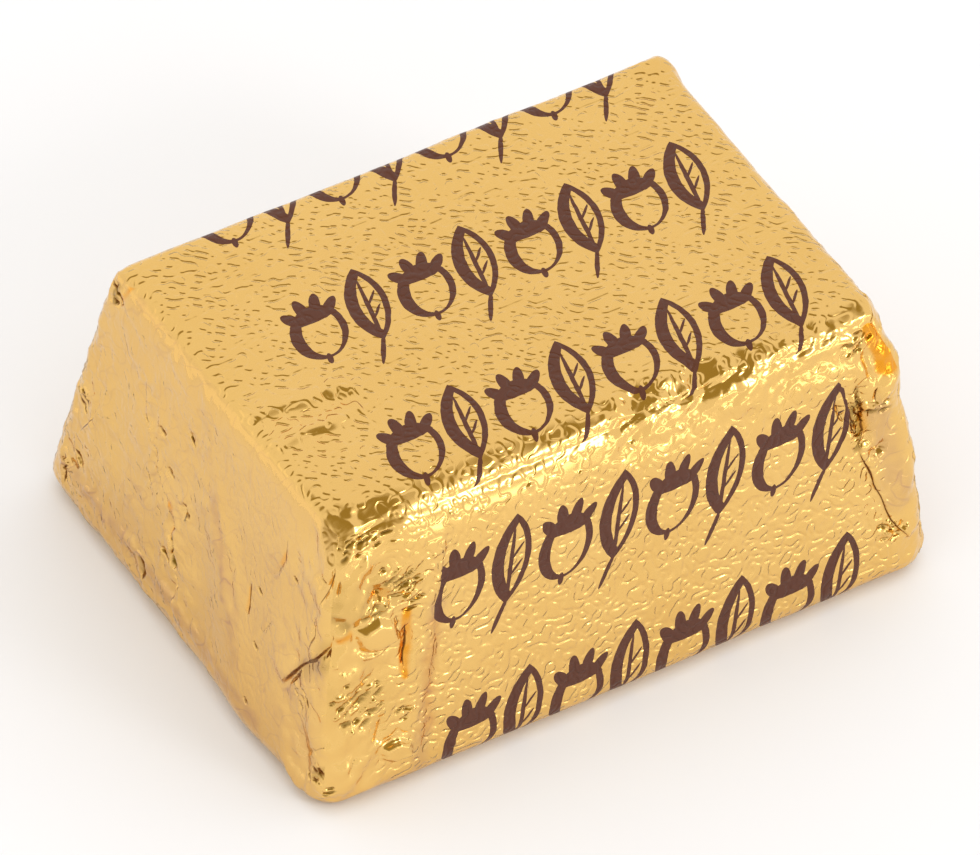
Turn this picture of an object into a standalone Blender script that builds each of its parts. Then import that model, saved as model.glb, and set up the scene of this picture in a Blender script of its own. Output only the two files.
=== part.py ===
"""A hazelnut praline shut in printed gold foil.

The praline is a block that tapers upwards on all four sides and stands on its larger face. The foil is
one sheet, pressed down over the top, so what it has too much of lies in folds: two ears on each end, a
pleat beside each upright corner on the long sides, and four flaps turned under the base.
It is shut and can't be seen into, so foil and filling are one solid.

Frame: origin in the middle of the base, +X along the long side, +Y towards the back, +Z up.
"""

import math

import bmesh
import bpy
from mathutils import Matrix, Vector, noise

MM = 0.001

# Driving sizes of the block, measured to the sharp corners that its rounded edges would meet in
BASE_LENGTH = 31.0 * MM
BASE_WIDTH = 23.7 * MM
TOP_LENGTH = 27.1 * MM
TOP_WIDTH = 18.3 * MM
HEIGHT = 14.0 * MM

# Edge radii. The long edge at the front of the top is pressed in and softer than the others
TOP_RADIUS = 0.85 * MM
FRONT_TOP_RADIUS = 1.5 * MM
UPRIGHT_RADIUS = 1.7 * MM
BASE_RADIUS = 0.75 * MM

# Flaps under the base, each a layer lower than the last: both ends, then the back, then the front, which the
# praline stands on
LAYER_STEP = 0.06 * MM
BASE_PLANE = 3 * LAYER_STEP
FLAP_DEPTH = 0.2 * MM
FLAP_DEPTH_STEP = 0.05 * MM
FLAP_INSET = 0.8 * MM
FLAP_EDGE_WANDER = 0.4 * MM
END_FLAP_REACH = 8.2 * MM
END_FLAP_TAPER = 2.6 * MM
BACK_FLAP_REACH = 11.0 * MM
FRONT_FLAP_REACH = 15.2 * MM
LONG_FLAP_TAPER = 3.4 * MM

# Folds on the sides: the plate's thickness, how far its free edge stands out midway, and how deep its tip,
# its foot and its root along the rounded corner lie in the block
FOLD_THICKNESS = 0.5 * MM
FOLD_PROUD = 0.22 * MM
SLIT_PROUD = 0.36 * MM
END_SINK = 0.06 * MM
ROOT_SINK = 0.42 * MM

# Crumpling of the foil, by where it lies
GRID_STEP = 0.95 * MM
CRUMPLE_SIZE = 1.9 * MM
EDGE_CRUMPLE = 0.17 * MM
CORNER_CRUMPLE = 0.26 * MM
FACE_RIPPLE = 0.035 * MM
CRUMPLE_REACH = 2.3 * MM
FACE_HOLLOW = 0.14 * MM
HEM_HEIGHT = 1.6 * MM
HEM_RIDGE = 0.1 * MM
PANEL_RIDGE = 0.2 * MM

# Outlines of the folds, as (across, up) in millimetres on their face. Across is measured from the middle
# of the face towards the corner that the fold belongs to, and up along the slope from the base. Each starts
# at its tip, follows its free edge down to the foot, and comes back by its root
WIDE_EAR = [(7.3, 12.6), (4.8, 9.6), (3.5, 7.6), (2.0, 6.2), (1.2, 4.9), (0.6, 3.0), (0.4, 0.9), (10.4, 0.9)]
NARROW_EAR = [(7.4, 12.4), (5.9, 10.4), (5.4, 8.6), (4.6, 6.4), (4.0, 3.4), (3.7, 0.9), (10.4, 0.9)]
SLIT_EAR = [(8.8, 10.4), (8.5, 8.6), (8.1, 6.3), (7.7, 4.6), (7.3, 2.6), (7.2, 0.9), (10.4, 0.9)]
WIDE_PLEAT = [(8.0, 12.8), (8.9, 10.2), (9.4, 7.6), (9.7, 4.6), (9.9, 0.9), (14.1, 0.9), (13.0, 10.2)]
NARROW_PLEAT = [(11.4, 11.0), (12.0, 8.2), (12.4, 6.0), (12.9, 4.5), (13.3, 3.2), (14.1, 3.0), (13.2, 9.4)]

# Two corners of the joined mesh that are closer than this become one
SLIVER = 0.03 * MM

GOLD = (0.84, 0.55, 0.19, 1.0)
GOLD_ROUGHNESS = 0.32

PRALINE_NAME = "wrapped_praline"


def clear_scene():
    """Removes what a new scene starts with."""
    for obj in list(bpy.data.objects):
        bpy.data.objects.remove(obj, do_unlink=True)


def new_collection(name):
    collection = bpy.data.collections.new(name)
    bpy.context.scene.collection.children.link(collection)
    return collection


def gold_foil():
    material = bpy.data.materials.new("gold_foil")
    material.use_nodes = True
    shader = material.node_tree.nodes["Principled BSDF"]
    shader.inputs["Base Color"].default_value = GOLD
    shader.inputs["Metallic"].default_value = 1.0
    shader.inputs["Roughness"].default_value = GOLD_ROUGHNESS
    return material


def stations(low, high, margins):
    """Places to cut between low and high: close together where the edges are rounded, even between them."""
    first, last = low + margins[-1], high - margins[-1]
    count = max(1, round((last - first) / GRID_STEP))
    even = [first + (last - first) * i / count for i in range(count + 1)]
    near = [low + m for m in margins[:-1]]
    far = [high - m for m in margins[:-1]]
    return near + even + far


def cut_block():
    """A box of the base's size, cut by planes into a grid that is finer beside its edges."""
    mesh = bmesh.new()
    bmesh.ops.create_cube(mesh, size=1.0)
    size = Vector((BASE_LENGTH, BASE_WIDTH, HEIGHT - BASE_PLANE))
    bmesh.ops.scale(mesh, vec=size, verts=mesh.verts)
    bmesh.ops.translate(mesh, vec=(0, 0, BASE_PLANE + size.z / 2), verts=mesh.verts)
    margins = (0.35 * MM, 0.85 * MM, 1.6 * MM)
    for axis, low in enumerate((-BASE_LENGTH / 2, -BASE_WIDTH / 2, BASE_PLANE)):
        normal = Vector([float(i == axis) for i in range(3)])
        for place in stations(low, low + size[axis], margins):
            everything = mesh.verts[:] + mesh.edges[:] + mesh.faces[:]
            bmesh.ops.bisect_plane(mesh, geom=everything, dist=1e-7, plane_co=normal * place, plane_no=normal)
    return mesh


def edge_distances(point):
    """How far a point of the box is from each kind of edge: front top, other top, upright and base."""
    to_side = BASE_LENGTH / 2 - abs(point.x)
    to_front = point.y + BASE_WIDTH / 2
    to_back = BASE_WIDTH / 2 - point.y
    to_top = HEIGHT - point.z
    to_base = point.z - BASE_PLANE
    return (
        math.hypot(to_front, to_top),
        min(math.hypot(to_back, to_top), math.hypot(to_side, to_top)),
        math.hypot(to_side, min(to_front, to_back)),
        min(math.hypot(min(to_front, to_back), to_base), math.hypot(to_side, to_base)),
    )


def local_radius(point):
    """The edge radius at a point of the box, blended between the edges that are near."""
    radii = (FRONT_TOP_RADIUS, TOP_RADIUS, UPRIGHT_RADIUS, BASE_RADIUS)
    weights = [1.0 / (d + 0.9 * MM) ** 2 for d in edge_distances(point)]
    return sum(w * r for w, r in zip(weights, radii)) / sum(weights)


def round_edges(point):
    """Moves a point of the box onto the same box with rounded edges."""
    radius = local_radius(point)
    lows = (-BASE_LENGTH / 2, -BASE_WIDTH / 2, BASE_PLANE)
    highs = (BASE_LENGTH / 2, BASE_WIDTH / 2, HEIGHT)
    inner = Vector([min(max(p, lo + radius), hi - radius) for p, lo, hi in zip(point, lows, highs)])
    return inner + (point - inner).normalized() * radius


def taper(point):
    """Draws the sides in towards the top."""
    share = point.z / HEIGHT
    along = 1 + (TOP_LENGTH / BASE_LENGTH - 1) * share
    across = 1 + (TOP_WIDTH / BASE_WIDTH - 1) * share
    return Vector((point.x * along, point.y * across, point.z))


def smooth_step(value):
    value = min(max(value, 0.0), 1.0)
    return value * value * (3 - 2 * value)


def crumple(point, size):
    """Crumpled foil between -1 and 1: flat dents that meet in ridges."""
    near, next_near = noise.voronoi(point / size)[0][:2]
    ridged = 1 - 2 * min((next_near - near) * 1.6, 1.0)
    return 0.6 * ridged + 0.6 * noise.noise(point / size * 0.8 + Vector((7.1, 3.3, 5.7)))


def panel_ridge(place):
    """The soft ridge that runs down the middle of each end, leaning towards the front and widening."""
    lean = -0.9 * MM - (0.65 * HEIGHT - place.z) * 0.5
    width = 0.8 * MM + (HEIGHT - place.z) * 0.12
    fade = smooth_step((0.8 * HEIGHT - place.z) / (3 * MM)) * smooth_step((abs(place.x) - 13 * MM) / MM)
    return PANEL_RIDGE * fade * math.exp(-(((place.y - lean) / width) ** 2))


def relief(box_point, place):
    """How far the foil stands out of the plain block at a point."""
    front_top, other_top, upright, base = edge_distances(box_point)
    at_front_top = smooth_step(1 - front_top / (CRUMPLE_REACH * 1.1))
    at_corner = smooth_step(1 - upright / (CRUMPLE_REACH * 1.5))
    dents = crumple(place, CRUMPLE_SIZE)
    height = FACE_RIPPLE * noise.noise(place / (3.4 * MM))
    height += EDGE_CRUMPLE * at_front_top * dents
    height += CORNER_CRUMPLE * at_corner * (dents - 0.35)
    inside = min(front_top, other_top, upright, base)
    height -= FACE_HOLLOW * smooth_step((inside - 1.5 * MM) / (6.0 * MM))
    hem = (box_point.z - BASE_PLANE - HEM_HEIGHT) / (0.5 * MM)
    return height + HEM_RIDGE * math.exp(-hem * hem) + panel_ridge(place)


def make_block(collection, material):
    """The foil-covered block without its folds, its base left flat."""
    mesh = cut_block()
    box_points = {v: v.co.copy() for v in mesh.verts}
    for v in mesh.verts:
        v.co = taper(round_edges(v.co))
    mesh.normal_update()
    normals = {v: v.normal.copy() for v in mesh.verts}
    for v, box_point in box_points.items():
        if v.co.z > BASE_PLANE + 1e-6:
            v.co += normals[v] * relief(box_point, v.co.copy())
            v.co.z = max(v.co.z, BASE_PLANE)
    bmesh.ops.recalc_face_normals(mesh, faces=mesh.faces)
    data = bpy.data.meshes.new(PRALINE_NAME)
    mesh.to_mesh(data)
    mesh.free()
    data.materials.append(material)
    data.shade_smooth()
    block = bpy.data.objects.new(PRALINE_NAME, data)
    collection.objects.link(block)
    return block


def face_frame(side):
    """Where a side's base line has its middle, as a matrix of across, up the slope, and outwards.

    Across runs towards +Y on the ends and +X on the long sides.
    """
    sign = 1 if side in ("right", "back") else -1
    if side in ("left", "right"):
        lean = Vector((-sign * (BASE_LENGTH - TOP_LENGTH) / 2, 0, HEIGHT)).normalized()
        across, foot = Vector((0, 1, 0)), Vector((sign * BASE_LENGTH / 2, 0, 0))
    else:
        lean = Vector((0, -sign * (BASE_WIDTH - TOP_WIDTH) / 2, HEIGHT)).normalized()
        across, foot = Vector((1, 0, 0)), Vector((0, sign * BASE_WIDTH / 2, 0))
    out = across.cross(lean)
    if out.dot(foot) < 0:
        out.negate()
    frame = Matrix.Identity(4)
    for column, axis in enumerate((across, lean, out, foot)):
        frame.col[column].xyz = axis
    return frame


def plate(name, outline, thickness, collection):
    """A flat plate from an outline, lying on its own plane, as a closed mesh."""
    curve = bpy.data.curves.new(name, "CURVE")
    curve.dimensions = "2D"
    curve.fill_mode = "BOTH"
    curve.extrude = thickness / 2
    spline = curve.splines.new("POLY")
    spline.points.add(len(outline) - 1)
    for point, (x, y) in zip(spline.points, outline):
        point.co = (x, y, 0, 1)
    spline.use_cyclic_u = True
    drawn = bpy.data.objects.new(name + "_outline", curve)
    collection.objects.link(drawn)
    evaluated = drawn.evaluated_get(bpy.context.evaluated_depsgraph_get())
    data = bpy.data.meshes.new_from_object(evaluated)
    data.name = name
    bpy.data.objects.remove(drawn, do_unlink=True)
    mesh = bmesh.new()
    mesh.from_mesh(data)
    bmesh.ops.remove_doubles(mesh, verts=mesh.verts, dist=1e-6)
    bmesh.ops.recalc_face_normals(mesh, faces=mesh.faces)
    mesh.to_mesh(data)
    mesh.free()
    made = bpy.data.objects.new(name, data)
    collection.objects.link(made)
    return made


def add_fold(side, corner, outline, proud, collection):
    """One fold on a side, beside the corner at the low (-1) or high (+1) end of its across direction.

    Its free edge bows out midway, and its tip, its foot and its root along the corner run into the block.
    """
    points = [(corner * x * MM, y * MM) for x, y in outline]
    fold = plate(f"fold_{len(collection.objects)}", points, FOLD_THICKNESS, collection)
    free_x = min(abs(x) for x, _ in points)
    root_x = max(abs(x) for x, _ in points)
    low = min(y for _, y in points)
    high = max(y for _, y in points)
    mesh = bmesh.new()
    mesh.from_mesh(fold.data)
    for v in mesh.verts:
        to_root = (abs(v.co.x) - free_x) / (root_x - free_x)
        bow = math.sqrt(max(0.0, math.sin(math.pi * (v.co.y - low) / (high - low))))
        v.co.z += proud * bow - END_SINK * (1 - bow) - ROOT_SINK * to_root - FOLD_THICKNESS / 2
    bmesh.ops.transform(mesh, matrix=face_frame(side), verts=mesh.verts)
    bmesh.ops.recalc_face_normals(mesh, faces=mesh.faces)
    mesh.to_mesh(fold.data)
    mesh.free()


def add_side_folds(collection):
    """The ears on both ends, a slit fold on the narrower of them, and the pleats on both long sides."""
    for side in ("left", "right"):
        wide_corner = 1 if side == "left" else -1
        add_fold(side, wide_corner, WIDE_EAR, FOLD_PROUD, collection)
        add_fold(side, -wide_corner, NARROW_EAR, FOLD_PROUD, collection)
        add_fold(side, -wide_corner, SLIT_EAR, SLIT_PROUD, collection)
    for side in ("front", "back"):
        wide_corner = -1 if side == "front" else 1
        add_fold(side, wide_corner, WIDE_PLEAT, FOLD_PROUD, collection)
        add_fold(side, -wide_corner, NARROW_PLEAT, SLIT_PROUD, collection)


def add_flap(angle, root, width, reach, narrowing, layer, collection):
    """One flap under the base, its root at a distance from the middle and its free edge turned inwards.

    Layer 0 lies against the block and layer 2 is the lowest, on the ground.
    """
    half = width / 2 - FLAP_INSET
    tip = root - reach
    outline = [
        (-half, -root),
        (half, -root),
        (half - narrowing, -tip),
        (0.3 * half, -tip - FLAP_EDGE_WANDER),
        (-0.4 * half, -tip + FLAP_EDGE_WANDER),
        (narrowing - half, -tip),
    ]
    bottom = BASE_PLANE - (layer + 1) * LAYER_STEP
    top = BASE_PLANE + FLAP_DEPTH + layer * FLAP_DEPTH_STEP
    flap = plate(f"flap_{len(collection.objects)}", outline, top - bottom, collection)
    flap.data.transform(Matrix.Rotation(angle, 4, "Z") @ Matrix.Translation((0, 0, (top + bottom) / 2)))


def add_base_folds(collection):
    """The four flaps under the base."""
    end_root = BASE_LENGTH / 2 - FLAP_INSET
    long_root = BASE_WIDTH / 2 - FLAP_INSET
    quarter = math.pi / 2
    for angle in (quarter, -quarter):
        add_flap(angle, end_root, BASE_WIDTH, END_FLAP_REACH, END_FLAP_TAPER, 0, collection)
    add_flap(2 * quarter, long_root, BASE_LENGTH, BACK_FLAP_REACH, LONG_FLAP_TAPER, 1, collection)
    add_flap(0, long_root, BASE_LENGTH, FRONT_FLAP_REACH, LONG_FLAP_TAPER, 2, collection)


def merge_slivers(data):
    """Closes the hair-thin faces that a union leaves where a fold runs into the block."""
    mesh = bmesh.new()
    mesh.from_mesh(data)
    bmesh.ops.triangulate(mesh, faces=mesh.faces)
    bmesh.ops.remove_doubles(mesh, verts=mesh.verts, dist=SLIVER)
    bmesh.ops.dissolve_degenerate(mesh, edges=mesh.edges, dist=SLIVER)
    bmesh.ops.triangulate(mesh, faces=mesh.faces)
    mesh.to_mesh(data)
    mesh.free()


def join_folds(block, folds):
    """Fuses the folds with the block, so that the praline is one solid, and removes the loose ones."""
    union = block.modifiers.new("folds", "BOOLEAN")
    union.operation = "UNION"
    union.operand_type = "COLLECTION"
    union.collection = folds
    union.solver = "EXACT"
    bpy.context.view_layer.update()
    evaluated = block.evaluated_get(bpy.context.evaluated_depsgraph_get())
    fused = bpy.data.meshes.new_from_object(evaluated)
    block.modifiers.remove(union)
    block.data = fused
    fused.name = PRALINE_NAME
    merge_slivers(fused)
    fused.shade_smooth()
    fused.set_sharp_from_angle(angle=math.radians(35))
    for obj in list(folds.objects):
        bpy.data.objects.remove(obj, do_unlink=True)
    bpy.data.collections.remove(folds)


def main():
    clear_scene()
    praline = new_collection("hazelnut_praline")
    folds = new_collection("folds")
    block = make_block(praline, gold_foil())
    add_side_folds(folds)
    add_base_folds(folds)
    join_folds(block, folds)


main()
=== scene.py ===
"""Looks of a hazelnut praline shut in printed, embossed gold foil.

The wrapper is one sheet of gold-lacquered aluminium foil, pressed over a tapered block, so the scene models
it as one skin: a block with rounded edges, then the folds, pleats and crumples that the hand or the machine
left in it. Lengths in the classes below are in millimetres, as a wrapper's maker would give them, and MM
turns them to metres where a mesh or a material needs them.

Frame: origin in the middle of the base, +X along the long side, +Y towards the back, +Z up.
"""

from __future__ import annotations

import logging
import math
from dataclasses import dataclass, field
from enum import Enum
from typing import Callable, ClassVar

import bpy
import numpy as np
from mathutils import Matrix, Vector

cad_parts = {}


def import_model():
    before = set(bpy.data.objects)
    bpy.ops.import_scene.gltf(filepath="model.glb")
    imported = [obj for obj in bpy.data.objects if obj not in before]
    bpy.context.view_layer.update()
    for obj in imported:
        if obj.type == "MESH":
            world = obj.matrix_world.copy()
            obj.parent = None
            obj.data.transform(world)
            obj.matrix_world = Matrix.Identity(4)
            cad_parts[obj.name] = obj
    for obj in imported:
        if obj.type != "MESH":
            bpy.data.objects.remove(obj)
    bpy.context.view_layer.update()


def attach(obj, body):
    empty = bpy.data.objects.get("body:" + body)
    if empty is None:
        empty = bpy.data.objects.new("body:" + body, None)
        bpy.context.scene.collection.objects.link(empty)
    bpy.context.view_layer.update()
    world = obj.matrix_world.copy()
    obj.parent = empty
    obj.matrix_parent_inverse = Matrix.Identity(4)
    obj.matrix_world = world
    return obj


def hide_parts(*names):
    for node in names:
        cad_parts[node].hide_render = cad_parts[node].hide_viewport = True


log = logging.getLogger("praline")

MM = 0.001
NODE = "wrapped_praline"
# A number of widths of a painted slit of shade that is past every painted slit.
FAR = 9.0


class Side(Enum):
    """The six sides of the block, by where each lies in the frame: its axis and its sign."""

    LEFT = (0, -1)
    RIGHT = (0, 1)
    FRONT = (1, -1)
    BACK = (1, 1)
    BASE = (2, -1)
    TOP = (2, 1)

    @property
    def axis(self) -> int:
        """The axis that the side looks along."""
        return self.value[0]

    @property
    def sign(self) -> int:
        """Whether it looks towards the low or the high end of its axis."""
        return self.value[1]


def smooth(value: np.ndarray) -> np.ndarray:
    """Eases a value from 0 to 1.

    Args:
        value: Numbers of any size.

    Returns:
        0 below 0, 1 above 1, and an S-shaped rise between them.
    """
    held = np.clip(value, 0.0, 1.0)
    return held * held * (3.0 - 2.0 * held)


def bell(value: np.ndarray) -> np.ndarray:
    """A bump of height 1 at 0 that has faded to a third at 1."""
    return np.exp(-np.square(value))


@dataclass(frozen=True)
class FoilNoise:
    """Unevenness of pressed foil, the same each run for the same seed."""

    seed: int
    MIX: ClassVar[np.ndarray] = np.array([127.1, 311.7, 74.7])

    def _lattice(self, mixed: np.ndarray) -> np.ndarray:
        """A fixed number between -1 and 1 for each cell, from the cell's mixed number."""
        return np.modf(np.abs(np.sin(mixed + self.seed * 17.37)) * 4375.8543)[0] * 2.0 - 1.0

    def soft(self, points: np.ndarray, size: float) -> np.ndarray:
        """Rounded swells.

        Args:
            points: Places in millimetres, one a row.
            size: How far apart the swells lie.

        Returns:
            A height between -1 and 1 for each place.
        """
        scaled = points / size + self.seed * 3.1
        cell = np.floor(scaled)
        part = smooth(scaled - cell).T
        mixed = cell @ self.MIX
        height = np.zeros(len(points))
        for corner in np.ndindex(2, 2, 2):
            x, y, z = (part[i] if step else 1.0 - part[i] for i, step in enumerate(corner))
            height += x * y * z * self._lattice(mixed + np.dot(corner, self.MIX))
        return height

    def warped(self, points: np.ndarray, size: float, amount: float) -> np.ndarray:
        """The places, each pushed about by swells, so that nothing laid over them runs straight."""
        shifts = [FoilNoise(self.seed + 31 * (i + 1)).soft(points, size) for i in range(3)]
        return points + np.stack(shifts, axis=1) * amount

    def facets(self, points: np.ndarray, size: float) -> np.ndarray:
        """Flat facets that meet in sharp creases, as crumpled foil has them.

        Each cell of a slanted lattice is cut into tetrahedra, and the height runs straight across each one.

        Args:
            points: Places in millimetres, one a row.
            size: How wide a facet is.

        Returns:
            A height between -1 and 1 for each place.
        """
        turn = np.array(Matrix.Rotation(0.7 + self.seed, 3, Vector((0.6, 0.5, 0.62))))
        scaled = self.warped(points, size * 1.7, size * 0.3) @ turn.T / size
        cell = np.floor(scaled)
        part = scaled - cell
        order = np.argsort(-part, axis=1)
        ranked = np.take_along_axis(part, order, axis=1)
        mixed = cell @ self.MIX
        height = (1.0 - ranked[:, 0]) * self._lattice(mixed)
        for rank in range(3):
            mixed = mixed + self.MIX[order[:, rank]]
            lower = ranked[:, rank + 1] if rank < 2 else 0.0
            height += (ranked[:, rank] - lower) * self._lattice(mixed)
        return height


@dataclass(frozen=True)
class Block:
    """The tapered block under the foil, by the sharp corners that its rounded edges would meet in."""

    base_length: float = 31.0
    base_width: float = 23.7
    top_length: float = 27.1
    top_width: float = 18.3
    height: float = 14.0
    base_radius: float = 1.45
    top_radius: float = 0.85

    @property
    def half(self) -> np.ndarray:
        """Half the size of the box that the block is pressed from."""
        return np.array([self.base_length, self.base_width, self.height]) / 2.0

    def level(self, side: Side) -> float:
        """Where a side of the box lies on its axis."""
        return {Side.BASE: 0.0, Side.TOP: self.height}.get(side, self.half[side.axis] * side.sign)

    def slant(self, side: Side) -> float:
        """How long the slope of a side is, from base edge to top edge.

        Args:
            side: One of the four sides.

        Returns:
            A length in millimetres.
        """
        if side.axis == 0:
            return math.hypot(self.height, (self.base_length - self.top_length) / 2.0)
        return math.hypot(self.height, (self.base_width - self.top_width) / 2.0)

    def rounded(self, box: np.ndarray) -> np.ndarray:
        """Moves places on the box to the same box with rounded edges, rounder towards the base.

        Args:
            box: Places on the box in millimetres, one a row.

        Returns:
            The moved places.
        """
        share = (box[:, 2] / self.height)[:, None]
        radius = self.base_radius + (self.top_radius - self.base_radius) * share
        centre = np.array([0.0, 0.0, self.height / 2.0])
        inner = np.clip(box - centre, radius - self.half, self.half - radius) + centre
        outwards = box - inner
        length = np.maximum(np.linalg.norm(outwards, axis=1, keepdims=True), 1e-9)
        return inner + outwards / length * radius

    def tapered(self, places: np.ndarray) -> np.ndarray:
        """Draws the four sides in towards the top.

        Args:
            places: Places on the rounded box, one a row.

        Returns:
            The places on the tapered block.
        """
        share = places[:, 2] / self.height
        drawn = places.copy()
        drawn[:, 0] *= 1.0 + (self.top_length / self.base_length - 1.0) * share
        drawn[:, 1] *= 1.0 + (self.top_width / self.base_width - 1.0) * share
        return drawn


@dataclass
class Places:
    """Where each vertex of the foil lies: on the box, and on the rounded and tapered block."""

    block: Block
    box: np.ndarray
    at: np.ndarray
    pushed: np.ndarray = field(init=False)

    def __post_init__(self) -> None:
        """Works out once how far each place is pushed about for the folds' sake."""
        self.pushed = (FoilNoise(71).warped(self.at, 1.1, 0.14) - self.at)[:, :2]

    def on(self, side: Side) -> np.ndarray:
        """Which places belong to a side, its edges among them."""
        return np.abs(self.box[:, side.axis] - self.block.level(side)) < 1e-4

    def on_ends(self) -> np.ndarray:
        """Which places belong to the two ends, their edges among them."""
        return self.on(Side.LEFT) | self.on(Side.RIGHT)

    def flat(self, side: Side) -> np.ndarray:
        """Each place as (across, up) on a side, in millimetres.

        Across is X on the long sides, top and base, and Y on the ends. Up is the way up the slope from the
        base edge, and Y on the top and base.

        Args:
            side: The side to measure on.

        Returns:
            Two numbers a row.
        """
        across = self.at[:, 0] if side.axis == 2 else self.at[:, 1 - side.axis]
        up = self.at[:, 1] if side.axis == 2 else self.box[:, 2] / self.block.height * self.block.slant(side)
        return np.stack([across, up], axis=1)

    def creased(self, side: Side) -> np.ndarray:
        """Each place as (across, up) on a side, pushed about a little, as no pressed fold runs straight."""
        return self.flat(side) + self.pushed

    def to_edge(self, first: Side, second: Side) -> np.ndarray:
        """How far each place is from the edge where two sides meet, along the foil.

        Args:
            first: One of the sides.
            second: The other side.

        Returns:
            A distance in millimetres for each place.
        """
        gaps = [np.abs(self.box[:, side.axis] - self.block.level(side)) for side in (first, second)]
        return np.hypot(*gaps)


@dataclass(frozen=True)
class Fold:
    """A line on one side, along which the foil is folded, with a slit of painted shade along it where it is
    given a painted gape.
    """

    side: Side
    line: tuple[tuple[float, float], ...]
    # Half the width of the fold's slit of painted shade, in millimetres; the foil does not open there.
    painted_gape: float = field(default=0.0, kw_only=True)

    def near(self, places: Places, reach: float) -> np.ndarray:
        """Which places lie within reach of the fold."""
        gap, _ = measure_to_line(places.creased(self.side), self.line)
        return places.on(self.side) & (np.abs(gap) < reach)

    def slit(self, places: Places) -> np.ndarray:
        """How far each place is from the middle of the fold's painted slit of shade, where 1 is its edge.

        Args:
            places: Where the foil's vertices lie.

        Returns:
            A number of half widths for each place.
        """
        gap, along = measure_to_line(places.creased(self.side), self.line)
        width = self.painted_gape * smooth(along / 0.3) * smooth((1.0 - along) / 0.3)
        width *= 1.0 + 0.5 * FoilNoise(85).soft(places.at, 0.7)
        return np.where(places.on(self.side), np.abs(gap) / np.maximum(width, 1e-3), FAR)


@dataclass(frozen=True)
class Crease(Fold):
    """A line pressed into one side: a valley, or a ridge where its depth is negative."""

    depth: float
    width: float = 0.25

    @property
    def sharp(self) -> bool:
        """Whether the crease is too narrow for the middling cells."""
        return self.width < 0.3

    def height(self, places: Places) -> np.ndarray:
        """How far the crease lifts the foil at each place.

        Args:
            places: Where the foil's vertices lie.

        Returns:
            A height in millimetres for each place.
        """
        gap, along = measure_to_line(places.creased(self.side), self.line)
        ends = smooth(along / 0.4) * smooth((1.0 - along) / 0.4)
        ends *= 0.85 + 0.35 * FoilNoise(84).soft(places.at, 1.1)
        groove = np.maximum(0.0, 1.0 - np.abs(gap) / self.width)
        return np.where(places.on(self.side), -self.depth * groove * ends, 0.0)


@dataclass(frozen=True)
class Lap(Fold):
    """A free edge of folded foil that lies over the foil beside it.

    The side that is proud lies to the right of the line, as seen from outside the block with up upwards,
    walking from the line's first point to its last.
    """

    lift: float
    reach: float
    valley: float = 0.12
    edge: float = 0.07
    end: float = 0.12
    uneven: float = 0.55

    @property
    def sharp(self) -> bool:
        """Whether the lap's edge is too steep for the middling cells."""
        return self.edge < 0.12

    def height(self, places: Places) -> np.ndarray:
        """How far the lap lifts the foil at each place.

        Args:
            places: Where the foil's vertices lie.

        Returns:
            A height in millimetres for each place.
        """
        gap, along = measure_to_line(places.creased(self.side), self.line)
        if self.side in (Side.LEFT, Side.BACK):
            gap = -gap
        ends = smooth(along / self.end) * smooth((1.0 - along) / self.end)
        ends *= 0.7 + self.uneven * FoilNoise(83).soft(places.at, 1.4)
        step = smooth(gap / self.edge * 0.5 + 0.5) * (1.0 - smooth(gap / self.reach))
        under = bell((gap + self.edge * 1.6) / (self.edge * 2.2))
        return np.where(places.on(self.side), (self.lift * step - self.valley * under) * ends, 0.0)


@dataclass(frozen=True)
class PressedWrinkles:
    """Shallow random wrinkles all over an end, where foil was folded double and smoothed flat."""

    side: Side
    size: float
    lift: float
    low: float
    high: float

    def height(self, places: Places) -> np.ndarray:
        """How far the wrinkles lift the foil at each place.

        Args:
            places: Where the foil's vertices lie.

        Returns:
            A height in millimetres for each place.
        """
        near = places.on(self.side)
        at = places.at[near]
        noise = FoilNoise(61)
        ridged = 1.0 - np.abs(noise.soft(noise.warped(at, 1.3, 0.5), self.size)) * 3.0
        finer = 1.0 - np.abs(noise.soft(noise.warped(at + 30.0, 0.8, 0.3), self.size * 0.5)) * 3.0
        across = at[:, 1 - self.side.axis]
        share = smooth((across - self.low) / (self.high - self.low))
        lifted = np.zeros(len(places.at))
        lifted[near] = self.lift * (np.maximum(ridged, 0.0) + 0.5 * np.maximum(finer, 0.0)) * share
        return lifted


@dataclass(frozen=True)
class CrumbBand:
    """Small steep crumples along a line, as at the edge of a flap that was pressed down."""

    side: Side
    line: tuple[tuple[float, float], ...]
    width: float
    lift: float
    facet: float

    def height(self, places: Places) -> np.ndarray:
        """How far the crumbs lift the foil at each place.

        Args:
            places: Where the foil's vertices lie.

        Returns:
            A height in millimetres for each place.
        """
        gap, along = measure_to_line(places.creased(self.side), self.line)
        near = places.on(self.side) & (np.abs(gap) < self.width * 1.8)
        noise = FoilNoise(40 + len(self.line))
        mixed = 0.65 * noise.facets(places.at[near], self.facet)
        mixed += 0.35 * noise.facets(places.at[near] + 50.0, self.facet * 0.5)
        ends = smooth(along[near] / 0.15) * smooth((1.0 - along[near]) / 0.15)
        lifted = np.zeros(len(gap))
        lifted[near] = self.lift * mixed * bell(gap[near] / self.width) * ends
        return lifted


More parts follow.
